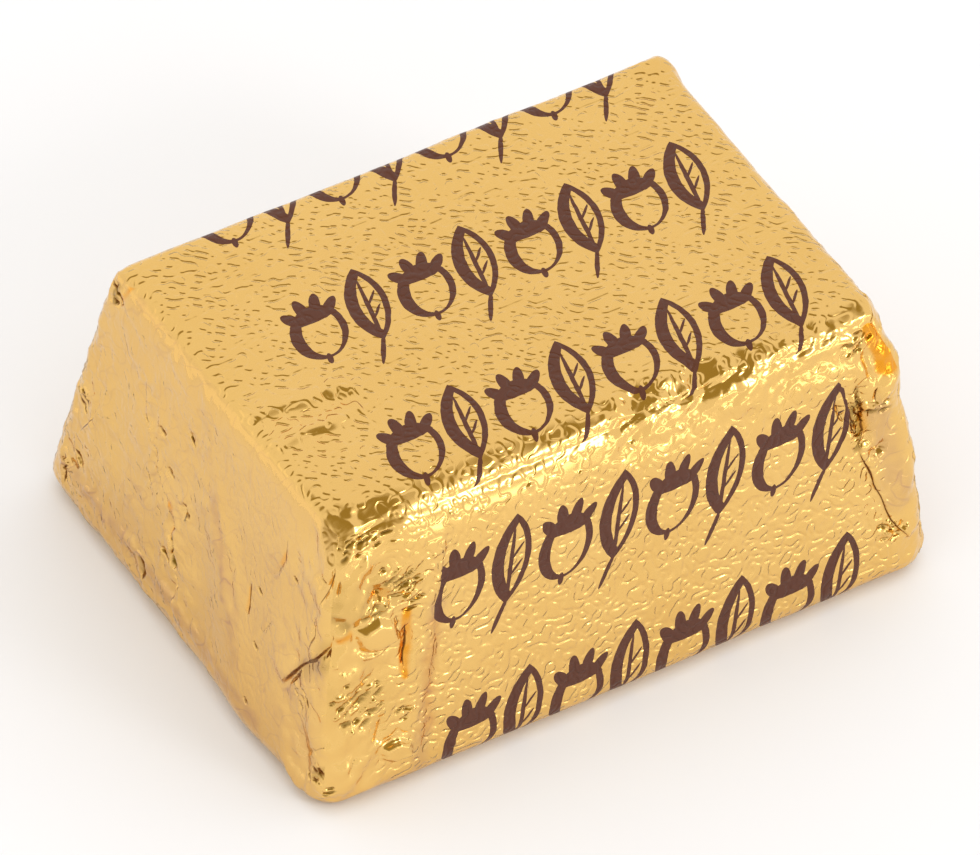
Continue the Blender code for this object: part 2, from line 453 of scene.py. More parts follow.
@dataclass(frozen=True)
class Dent:
    """A facet-edged dent or knob on one side, at a place, with its size across and up and its turn."""

    side: Side
    at: tuple[float, float]
    size: tuple[float, float]
    lift: float
    turn: float = 0.0
    flat: float = 0.4
    calm: bool = False

    def share(self, places: Places) -> np.ndarray:
        """How much of the dent's depth each place has, from 0 to 1.

        Args:
            places: Where the foil's vertices lie.

        Returns:
            A share from 0 to 1 for each place.
        """
        moved = (places.flat(self.side) - np.array(self.at)) @ turned(self.turn) / np.array(self.size)
        slopes = [np.abs(moved[:, 0]), np.abs(moved[:, 1]), np.abs(moved.sum(axis=1)) * 0.75]
        roof = np.clip((1.0 - np.max(slopes, axis=0)) / (1.0 - self.flat), 0.0, 1.0)
        return np.where(places.on(self.side), roof, 0.0)

    def height(self, places: Places) -> np.ndarray:
        """How far the dent lifts the foil at each place."""
        return self.lift * self.share(places)


@dataclass(frozen=True)
class Pinch:
    """A short steep groove, or a ridge where its lift is positive, pinched into one side.

    Its upper wall faces the sky and its lower wall the table, so each pinch gives a dark dash or a glint, and
    a groove's dash is darkened further with painted shade.
    """

    side: Side
    at: tuple[float, float]
    length: float = 0.3
    width: float = 0.13
    lift: float = -0.14
    turn: float = 25.0

    def height(self, flat: np.ndarray) -> np.ndarray:
        """How far the pinch lifts the foil at each place.

        Args:
            flat: Places as (across, up) on the pinch's side.

        Returns:
            A height in millimetres for each place.
        """
        moved = (flat - np.array(self.at)) @ turned(self.turn)
        ends = smooth((1.0 - np.abs(moved[:, 0]) / self.length) / 0.5)
        return self.lift * ends * np.maximum(0.0, 1.0 - np.abs(moved[:, 1]) / self.width)

    def slit(self, flat: np.ndarray) -> np.ndarray:
        """How far each place is from the groove's bottom, where 1 is the edge of its painted shade.

        Args:
            flat: Places as (across, up) on the pinch's side.

        Returns:
            A number for each place, and a large one for a ridge.
        """
        if self.lift > 0.0:
            return np.full(len(flat), FAR)
        moved = (flat - np.array(self.at)) @ turned(self.turn)
        return np.hypot(moved[:, 0] / (self.length * 0.8), moved[:, 1] / (self.width * 0.62))


@dataclass(frozen=True)
class PinchedPatch:
    """A patch of one side where pushed-together foil stands in short pinches, all turned much one way."""

    side: Side
    at: tuple[float, float]
    size: tuple[float, float]
    count: int
    lift: float = 0.12
    length: float = 0.28
    turn: float = 20.0
    raised: int = 3
    loose: float = 16.0

    def pinches(self) -> list[Pinch]:
        """The patch's pinches, laid out as seeds on a flower head, so that they spread evenly.

        Returns:
            The pinches, every so many of them a ridge and the rest grooves.
        """
        made = []
        for i in range(self.count):
            out = math.sqrt((i + 0.5) / self.count)
            angle = i * 2.39996 + self.at[0]
            across = self.at[0] + self.size[0] * out * math.cos(angle)
            up = self.at[1] + self.size[1] * out * math.sin(angle)
            shift = math.sin(i * 12.9898 + self.at[1] * 7.1)
            lift = self.lift if i % self.raised == self.raised - 1 else -self.lift
            made.append(
                Pinch(
                    self.side,
                    (across, up),
                    length=self.length * (1.0 + 0.4 * shift),
                    width=0.12 + 0.03 * shift,
                    lift=lift * (1.0 - 0.3 * shift),
                    turn=self.turn + self.loose * math.sin(i * 78.233),
                )
            )
        return made

    def near(self, places: Places, reach: float) -> np.ndarray:
        """Which places lie in the patch, or within reach of it."""
        moved = (places.flat(self.side) - np.array(self.at)) / (np.array(self.size) + min(reach, 0.35))
        return places.on(self.side) & (np.linalg.norm(moved, axis=1) < 1.0)


class PaintedLight(Enum):
    """Painted reflection and painted shade where folded foil mirrors itself, by the mark on the skin that
    says how much.

    The dull reflection is a pinkish painted reflection where foil was folded double and smoothed down; the
    fold reflection is painted orange, gold that mirrors gold, with painted brown shade where the fold is
    deepest; and the hollow shade is painted olive-brown shade in hollows that mirror little light.
    """

    ROSY = "rosy"
    AMBER = "amber"
    UMBER = "umber"


@dataclass(frozen=True)
class PaintedLightLine:
    """A soft-edged line on one side, along which the foil gets one of the painted lights: a painted
    reflection or a painted shade, by its kind.
    """

    painted_light: PaintedLight
    side: Side
    line: tuple[tuple[float, float], ...]
    width: float
    amount: float
    softness: float = 1.2
    evenness: float = 0.4

    def share(self, places: Places) -> np.ndarray:
        """How strongly each place gets the line's painted reflection or painted shade, from 0 to the line's
        amount.

        Args:
            places: Where the foil's vertices lie.

        Returns:
            A share for each place.
        """
        gap, _ = measure_to_line(places.creased(self.side), self.line)
        wander = 1.0 + 0.35 * FoilNoise(87).soft(places.at, 0.9)
        streaks = 0.75 + self.evenness * FoilNoise(88).soft(places.at, 0.35)
        away = np.abs(gap) / (self.width * wander) - 0.8
        share = self.amount * streaks * (1.0 - smooth(away / self.softness + 0.5))
        return np.where(places.on(self.side), share, 0.0)


@dataclass(frozen=True)
class Shoulder:
    """How the top sags to its front edge, where the foil was stroked down, most towards the near corner."""

    start: float = 1.7
    end: float = 0.55
    slope: float = 0.22
    fading: tuple[float, float] = (-4.0, 6.0)
    left_over: float = 0.45
    reach: float = 3.0

    def height(self, places: Places) -> np.ndarray:
        """How far the foil sinks at each place, as a height below zero.

        Args:
            places: Where the foil's vertices lie.

        Returns:
            A height in millimetres for each place.
        """
        gap = places.to_edge(Side.FRONT, Side.TOP)
        wander = 0.4 * FoilNoise(57).soft(places.at, 1.3)
        deepest = self.start - self.end
        sunk = np.clip(self.start + wander - gap, 0.0, deepest)
        sunk = np.where(places.on(Side.TOP), sunk, deepest * (1.0 - smooth(gap / self.reach)))
        low, high = self.fading
        share = 1.0 - (1.0 - self.left_over) * smooth((places.at[:, 0] - low) / (high - low))
        near = places.on(Side.TOP) | places.on(Side.FRONT)
        return np.where(near, -self.slope * sunk * share, 0.0)


@dataclass(frozen=True)
class PressedFacet:
    """A flat facet pressed into a corner: the way that it faces, a place that it goes through, its reach."""

    facing: tuple[float, float]
    through: tuple[float, float, float]
    reach: float
    firmness: float = 0.85

    def pressed(self, places: np.ndarray) -> np.ndarray:
        """The places, with all that stood proud of the facet pushed back onto it.

        Args:
            places: Places in millimetres, one a row.

        Returns:
            The moved places.
        """
        normal = np.array(direction(*self.facing))
        away = places - np.array(self.through)
        proud = np.maximum(away @ normal, 0.0)
        share = 1.0 - smooth((np.linalg.norm(away, axis=1) / self.reach - 0.8) / 0.2)
        return places - normal * (proud * share * self.firmness)[:, None]


def turned(degrees: float) -> np.ndarray:
    """A flat turn as a 2 by 2 matrix for places kept one a row."""
    angle = math.radians(degrees)
    return np.array([[math.cos(angle), -math.sin(angle)], [math.sin(angle), math.cos(angle)]])


def measure_to_line(
    flat: np.ndarray, line: tuple[tuple[float, float], ...]
) -> tuple[np.ndarray, np.ndarray]:
    """Measures places against a line of straight runs.

    Args:
        flat: Places as (across, up).
        line: The line's points as (across, up).

    Returns:
        The distance from the line, positive to the right of it, and how far along the line the nearest
        point lies, from 0 to 1.
    """
    best = np.full(len(flat), np.inf)
    gap = np.zeros(len(flat))
    along = np.zeros(len(flat))
    points = np.array(line)
    steps = np.diff(points, axis=0)
    lengths = np.linalg.norm(steps, axis=1)
    walked = 0.0
    for start, step, length in zip(points[:-1], steps, lengths):
        offset = flat - start
        share = np.clip(offset @ step / length**2, 0.0, 1.0)
        away = np.linalg.norm(offset - share[:, None] * step, axis=1)
        side = np.sign(offset[:, 1] * step[0] - offset[:, 0] * step[1]) * -1.0
        nearer = away < best
        best = np.where(nearer, away, best)
        gap = np.where(nearer, away * side, gap)
        along = np.where(nearer, (walked + share * length) / lengths.sum(), along)
        walked += length
    return gap, along


@dataclass(frozen=True)
class CrumpleZone:
    """Crumpled foil along an edge of the block: how far it spreads and how rough it is."""

    first: Side
    second: Side
    reach: float
    lift: float
    facet: float
    bias: float = -0.2
    rough: float = 0.5
    low: float = -1.0
    high: float = 99.0

    def strength(self, places: Places) -> np.ndarray:
        """How much of the zone's crumpling each place gets, from 0 to 1.

        Args:
            places: Where the foil's vertices lie.

        Returns:
            A share from 0 to 1 for each place.
        """
        wander = FoilNoise(11).soft(places.at, 2.6)
        away = places.to_edge(self.first, self.second) / (self.reach * (1.0 + 0.25 * wander))
        near = 1.0 - smooth((away - 0.4) / 0.6)
        level = places.box[:, 2]
        if {self.first.axis, self.second.axis} != {0, 1}:
            level = places.box[:, 0]
        return near * smooth((level - self.low) / 1.5) * smooth((self.high - level) / 1.5)

    def height(self, places: Places) -> np.ndarray:
        """How far the crumples lift the foil at each place.

        Args:
            places: Where the foil's vertices lie.

        Returns:
            A height in millimetres for each place.
        """
        strength = self.strength(places)
        near = strength > 0.0
        at = places.at[near]
        noise = FoilNoise(int(self.reach * 10) + int(self.facet * 7))
        coarse = noise.facets(at, self.facet)
        fine = noise.facets(at + 40.0, self.facet * 0.45)
        dust = noise.facets(at + 90.0, self.facet * 0.22)
        lifted = np.zeros(len(places.at))
        mixed = (1.0 - self.rough) * coarse + self.rough * (0.68 * fine + 0.32 * dust) + self.bias
        lifted[near] = self.lift * mixed * strength[near]
        return lifted


@dataclass(frozen=True)
class MeshPlan:
    """How finely the foil is cut up.

    The box is cut into cells of one size, with a margin at its edges, and each of them by a number of
    cuts. Faces are then halved again where the foil is crumpled deeper than crumple, and beside folds.
    Each reach is how near a fold the faces of one more round of halving lie.
    """

    cell: float = 2.6
    cuts: int = 4
    margin: float = 1.6
    crumple: float = 0.06
    reaches: tuple[float, float, float, float] = (1.0, 0.8, 0.22, 0.09)


@dataclass
class FoilWrapper:
    """The foil round the praline, with its folds, pleats, hems and crumples.

    Places on a side are (across, up) in millimetres: X on the front and the top, Y on the ends, and the way
    up the slope from the base edge. Each fold stands where the photo shows it, on the sides that it shows.
    """

    block: Block = field(default_factory=Block)
    plan: MeshPlan = field(default_factory=MeshPlan)
    name: str = "gold_foil_wrapper"
    # The underside flaps' thickness, the fold depth that gets the fullest painted fold shade, and the painted
    # slit's limit.
    layer: float = 0.06
    painted_fold_depth: float = 0.6
    slit_limit: float = 6.0
    # How far the sides swell and ripple, the front top edge is dinted in, the right front corner bulges and
    # the ridge down each end stands out.
    swell: float = 0.05
    ripple: float = 0.03
    edge_dint: float = 0.38
    corner_bulge: float = 0.1
    end_ridge: float = 0.22
    # How deep the embossed grain is left, against the grain on the top.
    end_grain: float = 0.35
    side_grain: float = 1.08
    edge_grain: float = 0.3
    crumpled_grain: float = 0.14
    pleat_grain: float = 0.35

    # Crumpled edges. The first three, along the front, are the ones with a grain of their own.
    zones: tuple[CrumpleZone, ...] = (
        CrumpleZone(Side.FRONT, Side.TOP, 2.8, 0.4, 1.4, rough=0.46, high=13.6),
        CrumpleZone(Side.FRONT, Side.LEFT, 4.4, 0.4, 1.7, rough=0.45),
        CrumpleZone(Side.FRONT, Side.RIGHT, 3.0, 0.36, 2.1, bias=0.0, rough=0.3),
        CrumpleZone(Side.BACK, Side.LEFT, 1.6, 0.06, 0.9),
        CrumpleZone(Side.BACK, Side.RIGHT, 2.6, 0.3, 1.8, bias=0.1, rough=0.3),
        CrumpleZone(Side.BACK, Side.TOP, 0.9, 0.05, 1.2),
        CrumpleZone(Side.LEFT, Side.TOP, 0.9, 0.04, 1.2),
        CrumpleZone(Side.RIGHT, Side.TOP, 0.9, 0.05, 1.2),
    )
    wrinkles: tuple[PressedWrinkles, ...] = (
        PressedWrinkles(Side.LEFT, 0.9, 0.08, -6.0, 1.0),
        PressedWrinkles(Side.RIGHT, 0.9, 0.05, 4.0, -3.0),
    )
    facets: tuple[PressedFacet, ...] = (
        PressedFacet((-36.0, 42.0), (-12.82, -8.58, 13.02), 2.8),
        PressedFacet((30.0, 20.0), (12.95, -9.5, 12.5), 2.0),
    )
    shoulder: Shoulder = Shoulder()
    bands: tuple[CrumbBand, ...] = (
        CrumbBand(
            Side.LEFT, ((4.7, 9.8), (3.6, 8.1), (2.4, 6.8), (1.6, 5.6), (1.2, 4.4), (0.6, 3.0)),
            0.3, 0.3, 0.5,
        ),
        CrumbBand(Side.LEFT, ((11.6, 1.4), (8.0, 1.7), (4.0, 1.9), (0.0, 1.9), (-4.0, 1.6)), 0.7, 0.12, 0.6),
        CrumbBand(Side.LEFT, ((9.6, 10.4), (9.2, 7.7), (9.4, 5.8), (10.0, 3.6), (10.3, 1.6)), 0.5, 0.14, 0.6),
        CrumbBand(Side.LEFT, ((8.5, 13.9), (8.4, 13.3), (8.3, 12.6)), 0.45, 0.22, 0.5),
        CrumbBand(Side.FRONT, ((11.6, 11.4), (11.9, 9.8), (11.7, 7.8)), 0.45, 0.6, 0.5),
        CrumbBand(Side.FRONT, ((12.6, 3.6), (13.3, 3.1), (13.6, 2.4)), 0.5, 0.3, 0.5),
        CrumbBand(Side.FRONT, ((13.1, 13.2), (13.2, 12.0), (13.1, 10.6)), 0.5, 0.25, 0.7),
        CrumbBand(Side.FRONT, ((-12.6, 12.6), (-11.4, 10.6), (-10.9, 9.0)), 0.6, 0.3, 0.6),
        CrumbBand(Side.TOP, ((-9.9, -1.5), (-9.0, -2.2), (-9.0, -3.2)), 0.7, 0.09, 0.5),
    )
    # Free edges. The first two are the pleats on the front that cover the print.
    laps: tuple[Lap, ...] = (
        Lap(
            Side.FRONT, ((14.0, 2.2), (13.1, 3.8), (12.7, 4.8), (12.3, 5.9), (11.9, 7.6), (11.7, 8.6)),
            lift=0.2, reach=2.6, valley=0.04, painted_gape=0.03,
        ),
        Lap(
            Side.FRONT, ((-7.9, 13.2), (-8.5, 11.3), (-9.1, 9.0), (-9.4, 6.4), (-10.0, 4.0), (-10.5, 1.0)),
            lift=0.14, reach=2.2, valley=0.06, edge=0.14,
        ),
        Lap(
            Side.LEFT, ((-10.4, 9.3), (-9.8, 8.2), (-8.9, 6.8), (-8.3, 5.9), (-7.6, 4.5)), lift=0.32,
            reach=2.2, valley=0.14, painted_gape=0.055,
        ),
        Lap(
            Side.LEFT, ((0.4, 0.9), (0.7, 3.6), (1.5, 5.4), (2.4, 6.8), (3.6, 8.1), (4.6, 9.5), (5.4, 10.8)),
            lift=0.16, reach=3.0, valley=0.06, edge=0.1,
        ),
        Lap(
            Side.LEFT,
            ((10.1, 2.7), (8.1, 2.5), (5.6, 2.5), (2.9, 2.5), (0.5, 2.5), (-2.0, 2.2), (-5.0, 1.8)),
            lift=0.07, reach=1.2, valley=0.02, edge=0.16,
        ),
        Lap(
            Side.LEFT, ((9.3, 4.2), (8.9, 5.2), (8.4, 6.3), (8.2, 7.3), (8.3, 8.0), (8.7, 8.6), (8.8, 10.0)),
            lift=0.16, reach=1.3, valley=0.06, edge=0.09, painted_gape=0.03,
        ),
        Lap(
            Side.TOP,
            ((-8.3, -2.5), (-9.0, -2.0), (-9.8, -1.9), (-10.6, -1.95), (-11.6, -1.6), (-13.0, -1.7)),
            lift=0.22, reach=1.6, valley=0.0, edge=0.3, end=0.05, uneven=0.2,
        ),
        Lap(
            Side.TOP,
            ((-8.5, -3.2), (-9.5, -3.45), (-10.3, -3.6), (-11.5, -3.5), (-12.0, -3.65), (-13.0, -3.8)),
            lift=0.21, reach=1.2, valley=0.0, edge=0.27, end=0.05, uneven=0.2,
        ),
    )
    creases: tuple[Crease, ...] = (
        Crease(Side.FRONT, ((-10.5, 9.0), (-10.6, 7.6), (-10.8, 5.9)), 0.34, 0.28, painted_gape=0.03),
        Crease(Side.FRONT, ((-13.4, 8.1), (-12.2, 7.7), (-11.2, 7.0)), -0.16, 0.35),
        Crease(Side.FRONT, ((-12.0, 4.6), (-12.3, 3.0)), 0.2, 0.25),
        Crease(Side.FRONT, ((-13.3, 12.1), (-13.6, 10.9)), 0.16, 0.16, painted_gape=0.02),
        Crease(Side.FRONT, ((-14.4, 13.0), (-14.2, 11.2)), 0.12, 0.16),
        Crease(Side.FRONT, ((-13.2, 2.9), (-13.9, 2.0)), 0.14, 0.2, painted_gape=0.02),
        Crease(Side.FRONT, ((11.8, 11.2), (12.1, 9.6), (11.7, 7.8)), 0.44, 0.42, painted_gape=0.045),
        Crease(Side.FRONT, ((11.35, 10.6), (11.5, 9.4), (11.5, 8.4)), 0.16, 0.16, painted_gape=0.028),
        Crease(
            Side.FRONT, ((-13.0, 8.6), (-12.75, 7.85), (-12.1, 7.6), (-11.4, 7.7), (-11.0, 8.4)), -0.15, 0.14,
        ),
        Crease(Side.FRONT, ((-10.95, 9.4), (-10.8, 8.8), (-11.1, 8.1)), 0.14, 0.14, painted_gape=0.028),
        Crease(Side.FRONT, ((-12.4, 2.1), (-11.9, 1.8), (-11.0, 2.0), (-10.75, 2.7)), -0.12, 0.13),
        Crease(Side.FRONT, ((10.6, 11.2), (10.9, 10.2), (11.2, 9.2)), 0.22, 0.22, painted_gape=0.02),
        Crease(Side.FRONT, ((12.8, 10.8), (12.6, 10.0)), 0.26, 0.2, painted_gape=0.03),
        Crease(Side.FRONT, ((12.1, 7.8), (12.6, 7.45), (13.2, 7.9)), 0.26, 0.29, painted_gape=0.02),
        Crease(Side.FRONT, ((12.4, 12.9), (12.5, 11.6), (12.7, 10.8)), 0.3, 0.2),
        Crease(Side.LEFT, ((-6.0, 11.8), (-6.2, 10.5), (-5.9, 9.6), (-5.2, 8.6)), 0.1, 0.15, painted_gape=0.02),
        Crease(Side.LEFT, ((-4.2, 7.8), (-4.3, 7.0), (-4.5, 5.8)), 0.16, 0.16, painted_gape=0.03),
        Crease(Side.LEFT, ((-6.3, 7.2), (-5.5, 5.5)), 0.1, 0.14, painted_gape=0.018),
        Crease(Side.LEFT, ((-8.9, 13.9), (-9.3, 12.9), (-9.3, 11.3), (-8.9, 9.6)), 0.12, 0.16, painted_gape=0.022),
        Crease(Side.LEFT, ((-8.7, 9.5), (-9.0, 8.5), (-8.8, 7.4)), 0.14, 0.16, painted_gape=0.022),
        Crease(Side.LEFT, ((-9.1, 2.2), (-10.5, 3.1), (-11.6, 4.3)), 0.14, 0.2, painted_gape=0.018),
        Crease(Side.LEFT, ((-0.9, 9.4), (-1.7, 8.4), (-2.7, 7.3), (-3.3, 6.1), (-3.9, 4.7)), 0.14, 0.5),
        Crease(Side.LEFT, ((9.3, 3.7), (8.9, 3.4), (8.5, 3.0)), 0.16, 0.16, painted_gape=0.06),
        Crease(Side.LEFT, ((9.9, 2.7), (9.75, 2.0), (9.6, 1.3)), 0.16, 0.16, painted_gape=0.06),
        Crease(Side.LEFT, ((3.6, 2.5), (3.1, 1.9), (3.2, 1.3)), 0.26, 0.25, painted_gape=0.1),
        Crease(Side.LEFT, ((1.0, 4.1), (0.6, 3.4), (0.4, 2.8)), 0.16, 0.16, painted_gape=0.03),
        Crease(Side.LEFT, ((2.1, 6.6), (1.7, 6.0), (1.6, 5.1)), 0.2, 0.2, painted_gape=0.03),
    )
    # Dents, and knobs where they are lifted. The calm ones are puffed smooth.
    dents: tuple[Dent, ...] = (
        Dent(Side.FRONT, (-11.9, 8.6), (0.95, 0.85), 0.38, 15.0, flat=0.66, calm=True),
        Dent(Side.FRONT, (-13.5, 9.7), (0.65, 0.5), -0.32, -15.0, flat=0.1),
        Dent(Side.FRONT, (-11.5, 10.5), (0.42, 0.36), -0.16, 20.0, flat=0.3),
        Dent(Side.FRONT, (-11.5, 2.4), (0.75, 0.55), 0.3, 5.0, flat=0.62, calm=True),
        Dent(Side.FRONT, (12.3, 12.6), (0.6, 0.8), -0.2, 10.0, flat=0.3),
        Dent(Side.LEFT, (1.2, 4.6), (0.28, 0.9), -0.26, -20.0, flat=0.2),
        Dent(Side.LEFT, (1.0, 7.15), (0.28, 0.45), -0.2, -20.0, flat=0.2),
        Dent(Side.LEFT, (6.9, 4.7), (0.7, 0.7), 0.06, 0.0),
        Dent(Side.LEFT, (-11.0, 2.1), (0.6, 0.5), -0.12, 20.0),
    )
    patches: tuple[PinchedPatch, ...] = (
        PinchedPatch(Side.FRONT, (-13.1, 5.5), (1.2, 1.4), 26),
        PinchedPatch(Side.FRONT, (-10.15, 10.2), (0.5, 1.1), 9, lift=0.16, length=0.42, raised=4, loose=8.0),
        PinchedPatch(Side.FRONT, (-12.2, 13.5), (1.3, 0.7), 14),
        PinchedPatch(Side.FRONT, (-14.9, 1.2), (0.4, 0.4), 5, lift=0.1),
        PinchedPatch(Side.FRONT, (-10.9, 4.2), (0.4, 0.5), 4, length=0.38, loose=6.0),
        PinchedPatch(Side.FRONT, (-11.6, 2.5), (0.5, 0.3), 5, lift=0.09, length=0.2, raised=1),
        PinchedPatch(Side.FRONT, (-11.0, 10.8), (0.7, 0.8), 9, raised=2),
        PinchedPatch(Side.FRONT, (-12.0, 9.9), (0.6, 0.4), 6, raised=2),
        PinchedPatch(Side.FRONT, (12.1, 13.3), (0.7, 0.6), 9, raised=2),
        PinchedPatch(Side.FRONT, (13.1, 3.2), (0.6, 0.6), 8, lift=0.16, raised=2),
        PinchedPatch(Side.FRONT, (12.9, 9.8), (0.5, 0.5), 5, lift=0.16, raised=2),
        PinchedPatch(Side.LEFT, (9.4, 6.5), (0.4, 0.8), 6, turn=28.0),
        PinchedPatch(Side.LEFT, (9.7, 2.2), (0.35, 0.7), 6, lift=0.2, turn=28.0),
        PinchedPatch(Side.LEFT, (8.5, 13.2), (0.3, 0.5), 4, lift=0.14, turn=28.0, raised=9),
        PinchedPatch(Side.LEFT, (-8.9, 5.0), (0.6, 0.6), 6, turn=28.0, raised=5),
        PinchedPatch(Side.LEFT, (-10.9, 2.1), (0.45, 0.4), 6, lift=0.09, turn=28.0, raised=2),
        PinchedPatch(Side.LEFT, (-10.9, 8.0), (0.5, 1.4), 8, lift=0.1, turn=28.0),
    )
    # Single dashes on the left end, grooves darkened with painted shade, and single sparkles on the front.
    grooves: tuple[Pinch, ...] = tuple(
        Pinch(Side.LEFT, at, length, width, -1.05 * width, 28.0)
        for at, length, width in (
            ((9.3, 6.75), 0.42, 0.14), ((9.15, 6.0), 0.2, 0.12), ((4.6, 9.2), 0.32, 0.13),
            ((3.4, 9.65), 0.3, 0.12), ((1.4, 10.8), 0.36, 0.12), ((3.6, 8.1), 0.26, 0.13),
            ((3.3, 7.5), 0.24, 0.12), ((2.4, 8.1), 0.3, 0.13), ((3.9, 6.55), 0.2, 0.12),
            ((0.9, 7.2), 0.34, 0.18), ((1.35, 5.0), 0.4, 0.2), ((1.1, 4.35), 0.45, 0.22),
            ((1.8, 3.9), 0.45, 0.12), ((-5.0, 7.65), 0.24, 0.12), ((-5.4, 5.0), 0.26, 0.12),
            ((-7.1, 10.1), 0.2, 0.12), ((-8.9, 11.6), 0.22, 0.12), ((-5.7, 2.0), 0.2, 0.12),
            ((-10.4, 1.7), 0.26, 0.13),
        )
    )
    glints: tuple[Pinch, ...] = tuple(
        Pinch(Side.FRONT, at, length=0.16, width=0.15, lift=0.077, turn=0.0)
        for at in (
            (-7.84, 13.0), (-11.95, 13.9), (-10.72, 12.97), (-9.05, 11.44), (-9.16, 10.92), (-8.98, 10.3),
            (-13.06, 12.1), (-10.06, 10.08), (-10.54, 9.99), (-13.9, 7.6), (-13.7, 7.1), (-12.42, 5.39),
            (-12.14, 2.98), (-8.75, 1.5), (-8.82, 4.12), (-6.4, 12.6), (-4.1, 12.9), (-1.7, 12.5),
            (0.9, 12.9), (3.3, 12.6), (11.72, 13.4), (12.16, 13.2), (13.2, 9.66), (12.7, 9.57), (12.84, 2.34),
        )
    )
    # Lines of painted reflection and painted shade along folds, hollows and bands.
    painted_lights: tuple[PaintedLightLine, ...] = (
        PaintedLightLine(PaintedLight.ROSY, Side.LEFT, ((-0.9, 9.4), (-2.2, 7.3), (-3.2, 6.0), (-4.6, 2.8)), 0.6, 0.6),
        PaintedLightLine(PaintedLight.ROSY, Side.LEFT, ((-1.8, 8.4), (-2.4, 7.0), (-2.9, 5.4)), 0.2, 0.9, 0.9),
        PaintedLightLine(PaintedLight.ROSY, Side.LEFT, ((10.0, 2.3), (5.0, 2.2), (0.5, 2.1), (-6.5, 1.4)), 0.6, 0.8),
        PaintedLightLine(PaintedLight.ROSY, Side.LEFT, ((-10.6, 8.4), (-9.3, 6.8), (-8.2, 5.0)), 1.0, 0.5),
        PaintedLightLine(PaintedLight.ROSY, Side.LEFT, ((-8.0, 3.0), (-10.5, 2.6)), 1.2, 0.4),
        PaintedLightLine(PaintedLight.ROSY, Side.LEFT, ((-6.0, 11.0), (-5.0, 7.0), (-6.0, 4.0)), 1.2, 0.3),
        PaintedLightLine(PaintedLight.ROSY, Side.FRONT, ((-9.0, 9.0), (-9.6, 6.4), (-10.0, 4.0), (-10.4, 1.2)), 0.5, 0.5),
        PaintedLightLine(PaintedLight.ROSY, Side.FRONT, ((12.7, 9.2), (13.2, 7.5), (13.5, 5.0)), 0.8, 0.5),
        PaintedLightLine(PaintedLight.AMBER, Side.FRONT, ((-9.2, 8.0), (-9.7, 5.4), (-10.0, 3.0)), 0.4, 0.14),
        PaintedLightLine(PaintedLight.AMBER, Side.FRONT, ((13.2, 13.7), (13.4, 12.9), (13.4, 11.8)), 0.8, 0.62, 0.25, 0.15),
        PaintedLightLine(PaintedLight.AMBER, Side.FRONT, ((-11.6, 10.5), (-11.3, 10.5)), 0.3, 0.3),
        PaintedLightLine(PaintedLight.AMBER, Side.FRONT, ((-13.7, 8.95), (-13.1, 9.1)), 0.16, 0.45),
        PaintedLightLine(PaintedLight.AMBER, Side.FRONT, ((-10.45, 9.2), (-10.6, 7.6), (-10.8, 6.0)), 0.28, 0.5, 0.7),
        PaintedLightLine(PaintedLight.UMBER, Side.FRONT, ((-14.0, 10.6), (-12.7, 10.4), (-11.2, 10.7)), 1.1, 0.22),
        PaintedLightLine(PaintedLight.UMBER, Side.FRONT, ((-13.9, 5.8), (-12.4, 5.4)), 1.2, 0.12),
        PaintedLightLine(PaintedLight.UMBER, Side.FRONT, ((11.75, 11.2), (11.85, 9.8), (11.7, 8.0)), 0.18, 0.8, 0.9),
        PaintedLightLine(PaintedLight.UMBER, Side.FRONT, ((11.65, 10.2), (11.7, 9.1)), 0.36, 0.85, 1.5),
        PaintedLightLine(PaintedLight.UMBER, Side.FRONT, ((-13.7, 10.1), (-13.3, 9.5)), 0.3, 0.5, 0.8),
        PaintedLightLine(PaintedLight.UMBER, Side.FRONT, ((-12.5, 9.9), (-11.8, 9.75), (-11.3, 9.9)), 0.22, 0.5, 0.8),
        PaintedLightLine(PaintedLight.AMBER, Side.LEFT, ((2.0, 6.6), (1.6, 5.9), (1.6, 5.2)), 0.22, 0.5),
        PaintedLightLine(PaintedLight.AMBER, Side.LEFT, ((-6.2, 10.7), (-6.1, 10.2)), 0.16, 0.35),
        PaintedLightLine(PaintedLight.AMBER, Side.LEFT, ((-4.3, 7.2), (-4.4, 6.2)), 0.14, 0.4),
        PaintedLightLine(PaintedLight.UMBER, Side.LEFT, ((-10.2, 8.6), (-9.6, 7.4), (-8.8, 6.3)), 0.5, 0.3),
        PaintedLightLine(PaintedLight.UMBER, Side.LEFT, ((1.4, 5.3), (1.25, 4.6), (1.15, 4.1)), 0.19, 1.3, 0.5),
        PaintedLightLine(PaintedLight.UMBER, Side.LEFT, ((1.1, 7.4), (0.9, 6.9)), 0.16, 1.1, 0.5),
        PaintedLightLine(PaintedLight.UMBER, Side.LEFT, ((8.45, 13.7), (8.6, 13.2), (8.5, 12.8)), 0.16, 0.7, 0.6),
        PaintedLightLine(PaintedLight.AMBER, Side.LEFT, ((7.8, 14.2), (8.1, 13.1)), 0.12, 0.4, 0.6),
        PaintedLightLine(PaintedLight.UMBER, Side.LEFT, ((3.5, 2.3), (3.1, 1.7)), 0.2, 0.6, 0.6),
        PaintedLightLine(PaintedLight.UMBER, Side.LEFT, ((-11.2, 2.3), (-10.7, 2.0)), 0.3, 0.4, 0.8),
    )

    def build(self) -> bpy.types.Object:
        """Makes the foil's mesh.

        Returns:
            The finished piece, at the origin, unturned and unscaled.
        """
        piece = self._cut_box()
        places = self._shape(piece)
        self._lay_print_map(piece, places)
        bpy.ops.object.shade_smooth()
        return piece

